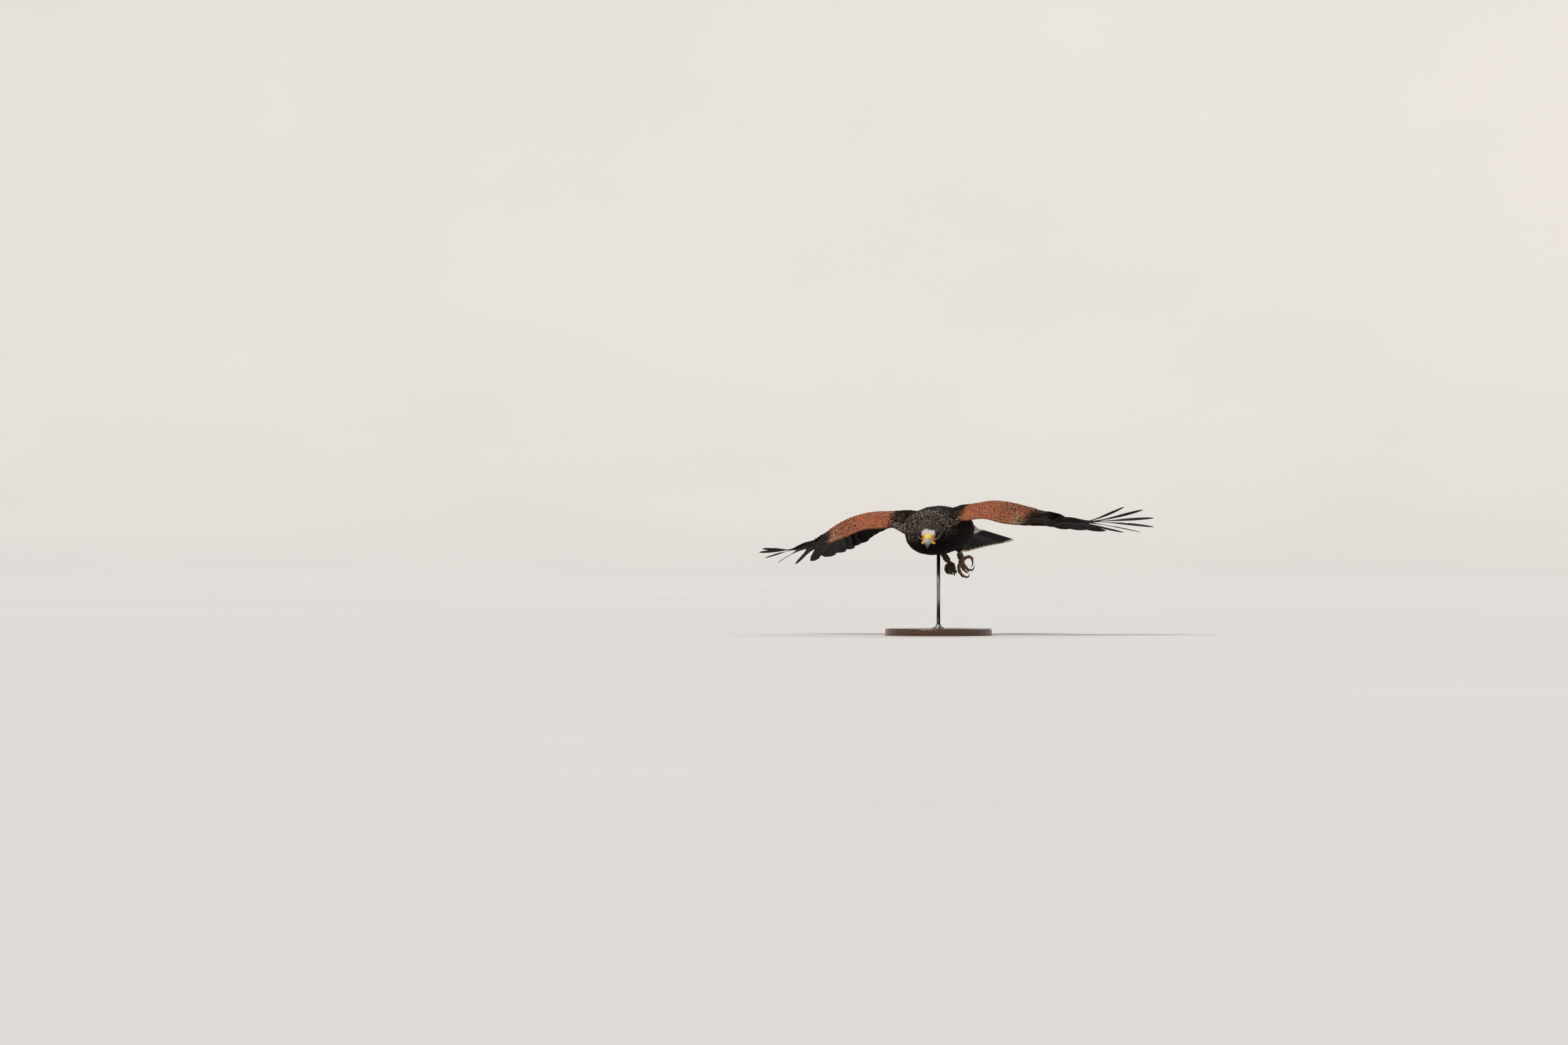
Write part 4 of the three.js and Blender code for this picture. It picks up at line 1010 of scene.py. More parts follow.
def layFrontRows(pile, side):
    # Small feathers laid outward around the very front, over the line where the two faces of the wing meet.
    t = leafPlaces
    for number, turn in enumerate(covert["frontTurns"]):
        span = np.arange(covert["from"] + 6 + 1.2 * number, wing["armEnd"] - 8, covert["frontStep"])
        span = span + dice.normal(0, 0.6, len(span))
        out = span[:, None] + covert["frontLength"] * dice.uniform(0.85, 1.15, (len(span), 1)) * t
        lead, ahead = wingAt("lead", out), leadNormal(side, out, out)
        middle = (wingHeight(out, lead, True) + wingHeight(out, lead, False)) / 2
        spread = np.sign(turn) * covert["frontSpread"] + dice.normal(0, 9, (len(span), 1))
        tilt = np.radians(turn + spread * t)[..., None]
        forth, over = ahead * np.cos(tilt), upward * np.sin(tilt)
        reach = (1.2 * t)[None, :, None]
        spine = np.stack([lead, side * out, middle], -1)
        spine = spine + forth * (covert["frontAhead"] + reach) + over * (covert["frontUp"] + reach)
        halves = (covert["frontHalf"] * leafOutline(t))[None, :, None] * np.ones((len(span), 1, 2))
        chance = dice.random(len(span))
        tone = covertTones(0.0, side, span, True, chance)
        patch = wingPatch(span, 0.96 + 0.01 * number)
        layLeaves(pile, spine, forth + over, halves, tone, patch, chance, camber=0.14)


def buildCoverts(side, name):
    pile = newPile()
    t = leafPlaces
    for upper in (True, False):
        sign = 1 if upper else -1
        for number, row in enumerate(covertRows):
            span = np.arange(covert["from"] + row["step"] / 2 * (number % 2), row["to"], row["step"])
            many = len(span)
            span = span + dice.normal(0, 0.12 * row["step"], many)
            share = mixed(wing["tipCore"], row["share"], wingNarrow(span))
            forward = wingForward(span, share) + dice.normal(0, 0.5, many) * (number > 0)
            length = row["length"] * dice.uniform(0.88, 1.12, many)
            angle = covertAngle(span, share) + dice.normal(0, 0.07, many)
            chance = dice.random(many)
            out = span[:, None] + (np.cos(angle) * length)[:, None] * t
            fore = forward[:, None] - (np.sin(angle) * length)[:, None] * t
            height = wingHeight(out, fore, upper) + sign * mixed(row["root"], covert["lift"], t ** 0.8)
            spine, normal = np.stack([fore, side * out, height], -1), wingNormal(side, out, fore, upper)
            half = row["width"] / 2 * leafOutline(t) * dice.uniform(0.93, 1.07, (many, 1))
            tone = covertTones(row["share"], side, span, upper, chance)
            patch = wingPatch(span, 0.03 + 0.46 * upper + 0.45 * share / 0.4)
            roll = sign * side * covert["roll"] + dice.normal(0, 0.05, (many, 1, 1))
            layLeaves(pile, spine, normal, half[..., None] * np.ones(2), tone, patch, chance,
                      ragged=0.06, roll=roll)
    layFrontRows(pile, side)
    pilePiece("coverts_" + name, pile, coatMaterial, "chestnut_plumage")


# Flight feathers
# underShade darkens the under faces of the flight feathers as painted shade.
flight = {"rows": 56, "thickness": 0.55, "ridge": 0.5, "camber": 0.045, "tilt": 4.5, "twist": 29,
          "underShade": 0.28, "barSpacing": 23, "splits": (0.08, 0.3), "splitWidth": 0.009}
flightPlaces = np.linspace(0, 1, flight["rows"] + 1)


def vaneHalves(t, full, lead, taper, tipFrom, quill=0.05):
    # Half widths towards the trailing side and the leading side, from the quill to the rounded tip.
    grown = ease(t, quill * 0.4, quill * 3.2)
    rounded = np.sqrt(np.clip(1 - (np.maximum(t - tipFrom, 0) / (1.004 - tipFrom)) ** 2, 0.004, 1))
    base = full * 2 * grown * rounded
    front = base * lead * (1 - taper * 1.1 * ease(t, 0.44, 0.6))
    rear = base * (1 - lead) * (1 - taper * ease(t, 0.5, 0.68))
    return np.stack([rear + 0.5, front + 0.5], -1)


def withSplits(halves, t, count):
    for _ in range(count):
        where, deep = dice.uniform(0.3, 0.92), dice.uniform(*flight["splits"])
        halves[:, 0] *= 1 - deep * np.exp(-((t - where) / flight["splitWidth"]) ** 2)
    return halves


def flightTones(t, length, chance):
    x, t = vaneAcross[None, :], t[:, None]
    tone = mixed(tints["flight"], tints["flightUnder"], 0.25 + 0.4 * chance) * np.ones((len(t), x.size, 1))
    turns = t * length / flight["barSpacing"] + 0.2 * np.abs(x)
    bars = 0.5 + 0.5 * np.sin(2 * math.pi * turns + 3 * chance)
    tone = painted(tone, "rachis", 0.35 * ease(bars, 0.55, 0.9) * (x <= 0))
    tone = painted(tone, "rachis", 0.8 * np.exp(-(x / 0.08) ** 2))
    edge = ease(np.abs(x), 0.8, 1) * 0.25 + ease(t * length, length - 7, length) * 0.25
    return painted(tone, "mottle", np.clip(edge, 0, 0.5))


def turnedUp(normal):
    return unit(np.where(normal[:, 2:] < 0, -normal, normal))


def shaftSides(spine, side):
    # From a shaft towards its leading side, and up.
    along = unit(np.gradient(spine, axis=0))
    flat = unit(np.cross(upward, along)) * -side
    return flat, turnedUp(np.cross(along, flat))


def layVane(pile, side, spine, normal, halves, tone, chance, number, total, tilt, camber=flight["camber"]):
    # The leading side is the outer one: towards +side on the left wing and -side on the right wing.
    patch = np.array([[0.01 + 0.98 * number / total, 0.01, 0.98 / total * 0.86, 0.98]])
    roll = side * np.radians(tilt * np.ones(len(spine)))[None, :, None]
    layLeaves(pile, spine[None], normal[None], halves[None, :, ::side], tone[None, :, ::side], patch,
              np.array([chance]), across=side * vaneAcross[::side], places=np.linspace(0, 1, len(spine)),
              blunt=0.0, camber=camber, ridge=flight["ridge"], thickness=flight["thickness"], ragged=0,
              roll=roll, underShade=flight["underShade"])


def buildPrimaries(side, name):
    pile, t = newPile(), flightPlaces
    for i in range(1, primary["count"] + 1):
        outer = (i - 1) / (primary["count"] - 1)
        spine, length = primaryShaft(side, i, t)
        full = mixed(primary["innerHalf"], primary["outerHalf"], outer)
        lead = mixed(primary["innerLead"], primary["outerLead"], outer)
        halves = vaneHalves(t, full, lead, 0.42 * ease(i, 4, 6), mixed(0.86, 0.8, outer), 0.11)
        halves = withSplits(halves, t, 2 + int(dice.integers(0, 3)))
        flat, normal = shaftSides(spine, side)
        spine = spine + flat * ((halves[:, 0] - halves[:, 1]) / 2 * ease(t, 0.02, 0.3) * 0.9)[:, None]
        chance = dice.random()
        twist = flight["twist"] * ease(i, 4, 7) * ease(t, primary["slotsFrom"], 0.85)
        layVane(pile, side, spine, normal, halves, flightTones(t, length, chance), chance, i - 1,
                primary["count"], flight["tilt"] - twist)
    pilePiece("primaries_" + name, pile, flightMaterial, "flight_feathers", f"wing_{name}_primaries")


secondary = {"from": 42, "to": 229, "count": 14, "rootShare": 0.4, "half": 17.5, "sunk": 2.3,
             "rootSpread": 0.83, "lead": 0.36}


def buildSecondaries(side, name):
    pile, t = newPile(), flightPlaces
    for number, end in enumerate(np.linspace(secondary["from"], secondary["to"], secondary["count"])):
        root = mixed(secondary["from"], end, secondary["rootSpread"])
        span = mixed(root, end, t)
        tip = wingForward(end, 1) + dice.uniform(-1.5, 1.5)
        fore = mixed(wingForward(root, secondary["rootShare"]), tip, t)
        height = wingTop(span, np.clip(shareAt(span, fore), 0, 1)) - secondary["sunk"]
        spine = np.stack([fore, side * span, height], -1)
        length = np.linalg.norm(spine[-1] - spine[0])
        halves = vaneHalves(t, secondary["half"], secondary["lead"], 0, 0.86)
        halves = withSplits(halves, t, int(dice.integers(1, 4)))
        normal = wingNormal(side, span, np.maximum(fore, wingForward(span, 0.97)), True)
        chance = dice.random()
        layVane(pile, side, spine, normal, halves, flightTones(t, length, chance), chance, number,
                secondary["count"], flight["tilt"])
    pilePiece("secondaries_" + name, pile, flightMaterial, "flight_feathers", f"wing_{name}_secondaries")


handCovert = {  # counted in primaries, then millimetres
    "firstAbove": 4.4, "firstBelow": 3.2, "step": 0.6, "to": 10.6, "last": 10.3, "length": (60, 76),
    "beginBelow": (20, 26), "beginAbove": (50, 20), "half": 8.5, "lead": 0.4, "depth": 4.2, "rise": 5.2,
    "blend": (-8, 16), "alulaLead": 0.42, "alulaDepth": 2.5, "tipFrom": 0.7, "total": 30,
}
alula = [
    {"from": 231, "reach": 72, "behind": 2.5, "half": 7.5},
    {"from": 233, "reach": 58, "behind": 7, "half": 7.5},
    {"from": 236, "reach": 44, "behind": 11, "half": 7},
]


def buildHandCoverts(side, name):
    # The stiff coverts of the primaries above and below, and the three feathers of the alula.
    pile, look = newPile(), handCovert
    t = np.linspace(0, 1, 25)
    number = 0
    for upper, first in ((True, look["firstAbove"]), (False, look["firstBelow"])):
        sign = 1 if upper else -1
        for i in np.arange(first, look["to"], look["step"]):
            i = min(i, look["last"])
            outer = (i - 1) / (primary["count"] - 1)
            _, length = primaryShaft(side, i, t)
            begin = mixed(*look["beginBelow"], outer)
            if upper:
                begin = mixed(*look["beginAbove"], (i - first) / (look["last"] - first))
            spine, _ = primaryShaft(side, i, (begin + t * mixed(*look["length"], outer)) / length)
            out, fore = np.abs(spine[:, 1]), spine[:, 0]
            rise = look["rise"] * ease(t, 0, 0.5) - look["depth"]  # the roots lie under the smaller coverts
            near, far = look["blend"]
            onArm = ease(out, wing["armEnd"] + far, wing["armEnd"] + near)
            onArm = onArm * ease(shareAt(out, fore), 0.6, 0.4)
            spine[:, 2] = mixed(spine[:, 2], wingHeight(out, fore, upper) + sign * rise, onArm)
            _, normal = shaftSides(spine, side)
            spine = spine + normal * (sign * (0.5 + 0.7 * t))[:, None]
            chance = dice.random()
            tone = flightTones(t, 80, chance) * (1.1 if upper else 1.4)
            halves = vaneHalves(t, look["half"], look["lead"], 0, look["tipFrom"])
            layVane(pile, side, spine, normal, halves, tone, chance, number, look["total"], 1.5)
            number += 1
    for k, feather in enumerate(alula):
        out = feather["from"] + feather["reach"] * t
        inside = np.minimum(out, wing["armEnd"])
        fore = wingAt("lead", inside) - feather["behind"] - 0.35 * (out - inside)
        rise = (look["rise"] - 0.5 * k) * ease(t, 0, 0.35) - look["alulaDepth"]
        height = wingHeight(out, fore, True) - 0.3 * (out - inside) + rise
        normal = unit(0.55 * leadNormal(side, out, inside) + 0.85 * upward)
        halves = vaneHalves(t, feather["half"], look["alulaLead"], 0, look["tipFrom"])
        tone = flightTones(t, feather["reach"], dice.random()) * 1.25
        layVane(pile, side, np.stack([fore, side * out, height], -1), normal, halves, tone, 0.5, number + k,
                look["total"], 0)
    pilePiece("hand_coverts_" + name, pile, flightMaterial, "flight_feathers")


def buildTail():
    pile, t = newPile(), flightPlaces
    level = [0, -1.0, -math.tan(math.radians(tail["twist"]))]
    for k in range(tail["count"]):
        where = (2 * k + 1) / tail["count"] - 1
        outer = abs(where)
        spine, length = tailShaft(where, t)
        halves = vaneHalves(t, mixed(*tail["half"], outer), mixed(*tail["lead"], outer), 0, 0.92)
        halves = withSplits(halves, t, int(dice.integers(1, 4)))
        normal = turnedUp(np.cross(level, unit(np.gradient(spine, axis=0))))
        spine = spine + normal * tail["layer"] * (1 - outer + (k == tail["count"] // 2))
        chance = dice.random()
        wave = 1.5 * np.sin(vaneAcross * 5 + 9 * chance)[None, :]
        fromTip = (1 - t[:, None]) * length + wave
        whiteTo = mixed(*tail["whiteTo"], outer)
        tone = flightTones(t, length, chance)
        tone = painted(tone, "white", ease(t[:, None] * length + 2 * wave, whiteTo + 8, whiteTo - 8))
        tone = painted(tone, "cream", ease(fromTip, 16, 12))
        tone = painted(tone, "white", 0.4 * ease(fromTip, 7, 2))
        layVane(pile, 1 if where > 0 else -1, spine, normal, halves, tone, chance, k, tail["count"], 4, 0.03)
    pilePiece("tail_feathers", pile, flightMaterial, "flight_feathers", "tail")


tailCoverts = [
    {"from": -124, "length": 44, "half": 8.5, "count": 9, "spread": 0.9},
    {"from": -136, "length": 56, "half": 9.5, "count": 9, "spread": 1.0},
    {"from": -148, "length": 72, "half": 10, "count": 9, "spread": 1.05},
]


def overRump(spine, skin, sign):
    # Heights that follow the tail, or the body where that stands out further.
    for k, t in enumerate(leafPlaces):
        x, y, z = spine[k]
        hit = skin["tree"].ray_cast((x, y, 150.0 * sign), (0, 0, -sign))[0]
        near = z + sign * (1.6 + 0.4 * t)
        onBody = near if hit is None else hit[2] + sign * (0.2 + 1.6 * t)
        spine[k, 2] = sign * max(sign * near, sign * onBody)
    for _ in range(4):
        spine[1:-1, 2] = (spine[:-2, 2] + 2 * spine[1:-1, 2] + spine[2:, 2]) / 4


def buildTailCoverts(skin):
    # White coverts that carry the line of the rump and of the vent onto the tail.
    pile, t = newPile(), leafPlaces
    for sign in (1.0, -1.0):
        for row in reversed(tailCoverts):
            for where in np.linspace(-row["spread"], row["spread"], row["count"]):
                places = tail["root"][0] - row["from"] + row["length"] * dice.uniform(0.92, 1.08) * t
                spine, _ = tailShaft(where + dice.normal(0, 0.03), places / tail["length"])
                spine[:, 1] += 0.25 * tail["halfRoot"] * where * (1 - t)
                overRump(spine, skin, sign)
                halves = (row["half"] * leafOutline(t))[:, None] * np.ones(2)
                chance = dice.random(1)
                tone = tints["white"] * (0.8 + 0.2 * chance) * np.ones((1, len(t), len(leafAcross), 1))
                v = 0.1 + 0.4 * (sign > 0) + 0.003 * row["length"]
                patch = smallPatch([0.1 + 0.35 * (where + 1.1)], v)
                normal = np.tile([0, 0, sign], (1, len(t), 1))
                layLeaves(pile, spine[None], normal, halves[None], tone, patch, chance, camber=0.06 * sign)
    pilePiece("tail_coverts", pile, coatMaterial, "plumage")


# Head pieces, in the head's frame
iris = {"pupil": 23, "rim": 40, "dark": "#070302", "brown": "#3a1a0a", "black": "#010101"}
lid = {  # the profile gives the share of the way out from the eye's edge, and the height over the ball in mm
    "upper": "#15100d", "lower": "#d2a06a", "lowerOuter": "#3c2c20", "outerLong": 62, "outerHigh": 50,
    "profile": [(0.0, 0.08), (0.03, 0.34), (0.1, 0.46), (0.22, 0.46), (0.45, 0.25), (0.75, -0.2),
                (1.0, -0.9), (0.9, -1.4), (0.5, -0.7), (0.06, -0.25)],
    "sides": 72,
}


def sphereRings(radius, rows, count, basis, bulge):
    gaze, along, up = basis
    polar = np.linspace(0.02, math.pi - 0.02, rows)[:, None, None]
    turn = around(count)[None, :, None]
    out = gaze * np.cos(polar) + np.sin(polar) * (along * np.cos(turn) + up * np.sin(turn))
    return (radius + bulge * np.exp(-(polar / 0.5) ** 2)) * out


def buildEye(side, name):
    gaze, along, up = basis = eyeBasis(side)
    centre = mirrored(eye["place"], side)
    rings = sphereRings(eye["radius"], 34, 48, basis, eye["bulge"])
    degrees = np.degrees(np.arccos(np.clip(unit(withMiddles(rings)) @ gaze, -1, 1)))[:, None]
    brown = ease(degrees, iris["pupil"] - 1, iris["pupil"] + 2)
    tone = mixed(linear(iris["black"]), linear(iris["brown"]), brown)
    tone = mixed(tone, linear(iris["dark"]), ease(degrees, iris["rim"] - 8, iris["rim"]))
    bodyPiece("eyeball_" + name, headToBird(rings + centre), eyeMaterial, tone, "eye", "eye_" + name)
    turn = around(lid["sides"])
    rings = []
    for v, lift in lid["profile"]:
        a = np.radians(mixed(eye["long"], lid["outerLong"], v)) * np.cos(turn)
        b = np.radians(mixed(eye["high"], lid["outerHigh"], v)) * np.sin(turn)
        b = b * (1 - 0.12 * np.cos(turn) ** 2 * np.sign(b)) + 0.02 * np.cos(turn)
        a, b, angle = a[:, None], b[:, None], np.hypot(a, b)[:, None]
        way = gaze * np.cos(angle) + (along * a + up * b) * (np.sin(angle) / angle)
        rings.append(centre + way * (eye["radius"] + lift * (1.0 + 0.25 * (np.sin(turn) > 0)))[:, None])
    lower = ease(-np.sin(turn), -0.1, 0.5)[None, :, None]
    rim = np.array([ease(v, 0.24, 0.1) for v, _ in lid["profile"]])[:, None, None]
    tone = mixed(linear(lid["upper"]), mixed(linear(lid["lowerOuter"]), linear(lid["lower"]), rim), lower)
    points = toWorld(headToBird(np.array(rings).reshape(-1, 3)))
    faces = ringFaces(len(rings), lid["sides"], True)
    settle(meshPiece("eyelids_" + name, points, faces, lidMaterial, tone.reshape(-1, 3)), "plumage")


cere = {
    "from": 11.4, "to": 24.4, "height": -1.1, "drop": 0.9, "half": 9.2, "halfUp": 9.7, "taper": 2.5,
    "keel": 0.12, "swell": 0.5, "nostrilPlace": (20.0, 5.6, 1.6), "nostrilShape": (0.75, 1.0, 1.15),
    "nostrilDepth": 1.4, "yellow": "#f0c62a", "nostrilShade": "#3a2a10", "gape": "#e9b52a",
}
bill = {
    "culmen": [(23.6, 5.8), (28, 5.4), (32.5, 3), (36, -1.8), (38, -7.4), (38.2, -12.2), (37, -16.6)],
    "edge": [(23.6, -9.6), (27, -9.8), (30, -10), (32.4, -11), (34.2, -12.4), (35.6, -14.4), (36.5, -16.4)],
    "half": [7.1, 6.9, 6.2, 5.0, 3.6, 2.1, 0.4],
    "keel": 0.3, "base": "#9aa2ae", "end": "#25282e", "rows": 48, "sides": 40,
}
lowerBill = {"root": 13.5, "length": 18.2, "height": -11, "rise": 0.6, "half": 6.2, "halfUp": 2.6,
             "tip": 0.8}


def billRing(middle, half, halfUp, keel):
    # A ring across the bill whose upper half is narrowed to a keel.
    turn = around(bill["sides"])
    across = np.cos(turn) * half * (1 - keel * np.maximum(np.sin(turn), 0) ** 1.5)
    return middle + np.sin(turn)[:, None] * halfUp + across[:, None] * np.array([0, 1.0, 0])


def buildBill():
    top, edge = (smoothLine([(x, 0, z) for x, z in bill[key]], bill["rows"]) for key in ("culmen", "edge"))
    places = np.linspace(0, 1, bill["rows"])
    half = np.interp(places, np.linspace(0, 1, len(bill["half"])), bill["half"])
    middle, halfUp = (top + edge) / 2, (top - edge) / 2
    rings = np.array([billRing(*row, bill["keel"]) for row in zip(middle, half, halfUp)])
    shares = np.append(np.repeat(places, bill["sides"]), [0, 1])[:, None]
    tone = mixed(linear(bill["base"]), linear(bill["end"]), ease(shares, 0.25, 0.85))
    bodyPiece("bill_top", headToBird(rings), hornMaterial, tone, "horn", "bill_upper")
    rings = []
    for t in np.linspace(0, 1, 24):
        look = lowerBill
        middle = np.array([look["root"] + look["length"] * t, 0, look["height"] + look["rise"] * t])
        half = look["half"] * (1 - t) ** 0.5 + look["tip"]
        rings.append(billRing(middle, half, upward * look["halfUp"] * (1 - t / 2), 0))
    tone = linear(bill["base"]) * 0.75
    bodyPiece("bill_bottom", headToBird(np.array(rings)), hornMaterial, tone, "horn", "bill_lower")


def buildCere():
    rings = []
    for t in np.linspace(0, 1, 26):
        swell = cere["swell"] * (math.sin(math.pi * min(t * 1.15, 1)) - ease(t, 0.9, 1))
        less = cere["taper"] * t - swell
        middle = np.array([mixed(cere["from"], cere["to"], t), 0, cere["height"] - cere["drop"] * t])
        rings.append(billRing(middle, cere["half"] - less, upward * (cere["halfUp"] - less), cere["keel"]))
    rings = np.array(rings)
    away = np.linalg.norm((np.abs(rings) - cere["nostrilPlace"]) * cere["nostrilShape"], axis=-1)
    dent = ease(away, 2.0, 0.9)
    rings[..., 1] -= np.sign(rings[..., 1]) * dent * cere["nostrilDepth"]
    dent = np.append(dent.ravel(), [0, 0])[:, None]
    # The dent is painted dark brown: painted shade standing in for the depth of the nostril's opening.
    tone = mixed(linear(cere["yellow"]), linear(cere["nostrilShade"]), dent)
    bodyPiece("cere_skin", headToBird(rings), cereMaterial, tone, "cere", "cere")


def tube(line, radii, count, flat=(1, 1)):
    # Rings along a line of points, with a steady side direction.
    along = unit(np.gradient(line, axis=0))
    side = np.zeros_like(along)
    side[0] = unit(np.cross(along[0], upward if abs(along[0][2]) < 0.8 else [0, 1.0, 0]))
    for k in range(1, len(line)):
        side[k] = unit(side[k - 1] - along[k] * (side[k - 1] @ along[k]))
    up = np.cross(along, side)
    turn = around(count)[None, :, None]
    out = side[:, None] * np.cos(turn) * flat[0] + up[:, None] * np.sin(turn) * flat[1]
    return line[:, None] + out * np.asarray(radii)[:, None, None]


def smoothLine(points, count):
    # A round curve through the points, evenly read.
    points = np.asarray(points, float)
    ends = np.vstack([2 * points[0] - points[1], points, 2 * points[-1] - points[-2]])
    at = np.linspace(0, len(points) - 1, count * 4)
    i = np.minimum(at.astype(int), len(points) - 2)
    t = (at - i)[:, None]
    p0, p1, p2, p3 = ends[i], ends[i + 1], ends[i + 2], ends[i + 3]
    line = 0.5 * (2 * p1 + (p2 - p0) * t + (2 * p0 - 5 * p1 + 4 * p2 - p3) * t ** 2
                  + (3 * p1 - p0 - 3 * p2 + p3) * t ** 3)
    run = runAlong(line)
    even = np.linspace(0, run[-1], count)
    return np.column_stack([np.interp(even, run, line[:, k]) for k in range(3)])


def runAlong(line):
    return np.append(0, np.cumsum(np.linalg.norm(np.diff(line, axis=0), axis=1)))


gape = {"line": [(22, 6.8, -4.6), (17.5, 9.8, -8.8), (13.5, 13, -12.6), (9, 16.5, -16)],
        "radii": [2.6, 3.0, 2.9, 1.2], "spread": 3.0, "above": 0.6, "cheekFrom": 17.5, "cheekFull": 13}


def gapeLine(side, skin):
    # From the root of the bill along the cheek, lying on the skin where it has left the cere.
    line = headToBird(smoothLine(mirrored(gape["line"], side), 32))
    spots, normals = nearest(skin["tree"], line)
    onCheek = ease(birdToHead(line)[:, :1], gape["cheekFrom"], gape["cheekFull"])
    line = mixed(line, spots + normals * gape["above"], onCheek)
    for _ in range(6):
        line[1:-1] = (line[:-2] + 2 * line[1:-1] + line[2:]) / 4
    return line


def nearGape(spots, skin):
    found = np.zeros(len(spots), bool)
    for side in sides.values():
        away = np.linalg.norm(spots[:, None] - gapeLine(side, skin)[None, :-5], axis=-1)
        found |= away.min(1) < gape["spread"]
    return found


def buildGape(side, name, skin):
    line = gapeLine(side, skin)
    t = np.linspace(0, 1, len(line))
    radii = np.interp(t, np.linspace(0, 1, 4), gape["radii"]) * np.sqrt(np.clip(1 - t ** 8, 0.02, 1))
    bodyPiece("gape_" + name, tube(line, radii, 18), cereMaterial, linear(cere["gape"]), "cere")


# Legs, feet and what they wear
# The foot colours are the yellow skin darkened to ochre brown as painted shade; the clenched right foot is
# darker still, as deeper painted shade.
legs = {
    "left": {
        "ankle": (-88, 26, -66), "palm": (-133, 15, -97), "pad": (-133, 15, -97), "ball": 7.6,
        "clawFrom": 0.42, "shadedOchre": "#7a5319",
        "toes": [
            [(-130, 9, -108), (-133, 9, -121), (-140, 14, -132), (-149, 21, -133), (-151, 25, -122.5)],
            [(-137, 16, -102), (-144, 20, -111), (-151, 23, -118), (-161, 30, -117), (-162, 34.5, -104.5)],
            [(-142, 21, -90), (-153, 28, -88), (-162, 32, -94), (-166, 29, -104), (-160, 24, -112)],
            [(-141, 11, -100), (-151, 9, -108), (-158, 10, -117), (-168, 14, -122), (-172, 17, -113)],
        ],
    },
    "right": {
        "ankle": (-88, -18, -66), "palm": (-127, -9.5, -102), "pad": (-127.5, -8.8, -110.5), "ball": 10.6,
        "clawFrom": 0.15, "shadedOchre": "#3b2b11",
        "toes": [
            [(-121, -17.5, -105), (-119, -18.5, -115), (-125, -17, -120.5), (-134, -16, -121),
             (-138, -15, -113)],
            [(-119.5, -9.5, -105), (-117, -9, -116), (-124, -8.5, -122.5), (-134, -8, -123),
             (-138.5, -7.5, -115)],
            [(-121.5, -1.5, -104), (-120, 0.5, -114), (-126, 0.5, -119.5), (-135, 0.5, -120),
             (-139, 0, -112)],
            [(-136, -9, -101), (-144, -9.5, -106), (-148, -9.5, -114), (-148, -9.5, -123),
             (-141, -9.5, -129)],
        ],
    },
}
# under is the share of painted shade on faces of the foot that look down.
foot = {
    "tarsus": 4.6, "tarsusSwell": 1.1, "scute": 3.2, "scuteRise": 0.22, "toe": 4.4, "toeEnd": 3.3,
    "pad": 0.3, "toeScute": 2.6, "toeScuteRise": 0.12, "voxel": 0.65, "claw": 2.8, "clawTip": 0.12,
    "clawBase": "#2a2622", "clawEnd": "#0c0b0c", "under": 0.6, "seam": 0.55,
}


def legLine(leg):
    return np.array(leg["ankle"], float), np.array(leg["palm"], float)


def toeRings(bones, palm, toe):
    line = smoothLine([palm, *toe], 64)
    run = runAlong(line)
    t = run / run[-1]
    scutes = foot["toeScuteRise"] * np.sin(run * 2 * math.pi / foot["toeScute"])
    pads = foot["pad"] * np.cos(2 * math.pi * (t * 3 + 0.1)) + scutes
    radii = mixed(foot["toe"], foot["toeEnd"], t) + pads * ease(t, 0.15, 0.3)
    radii = radii * np.sqrt(np.clip(1 - (np.maximum(t - 0.93, 0) / 0.08) ** 2, 0.05, 1))
    bones.append(np.column_stack([line, run / foot["toeScute"]]))
    return tube(line, radii, 22)


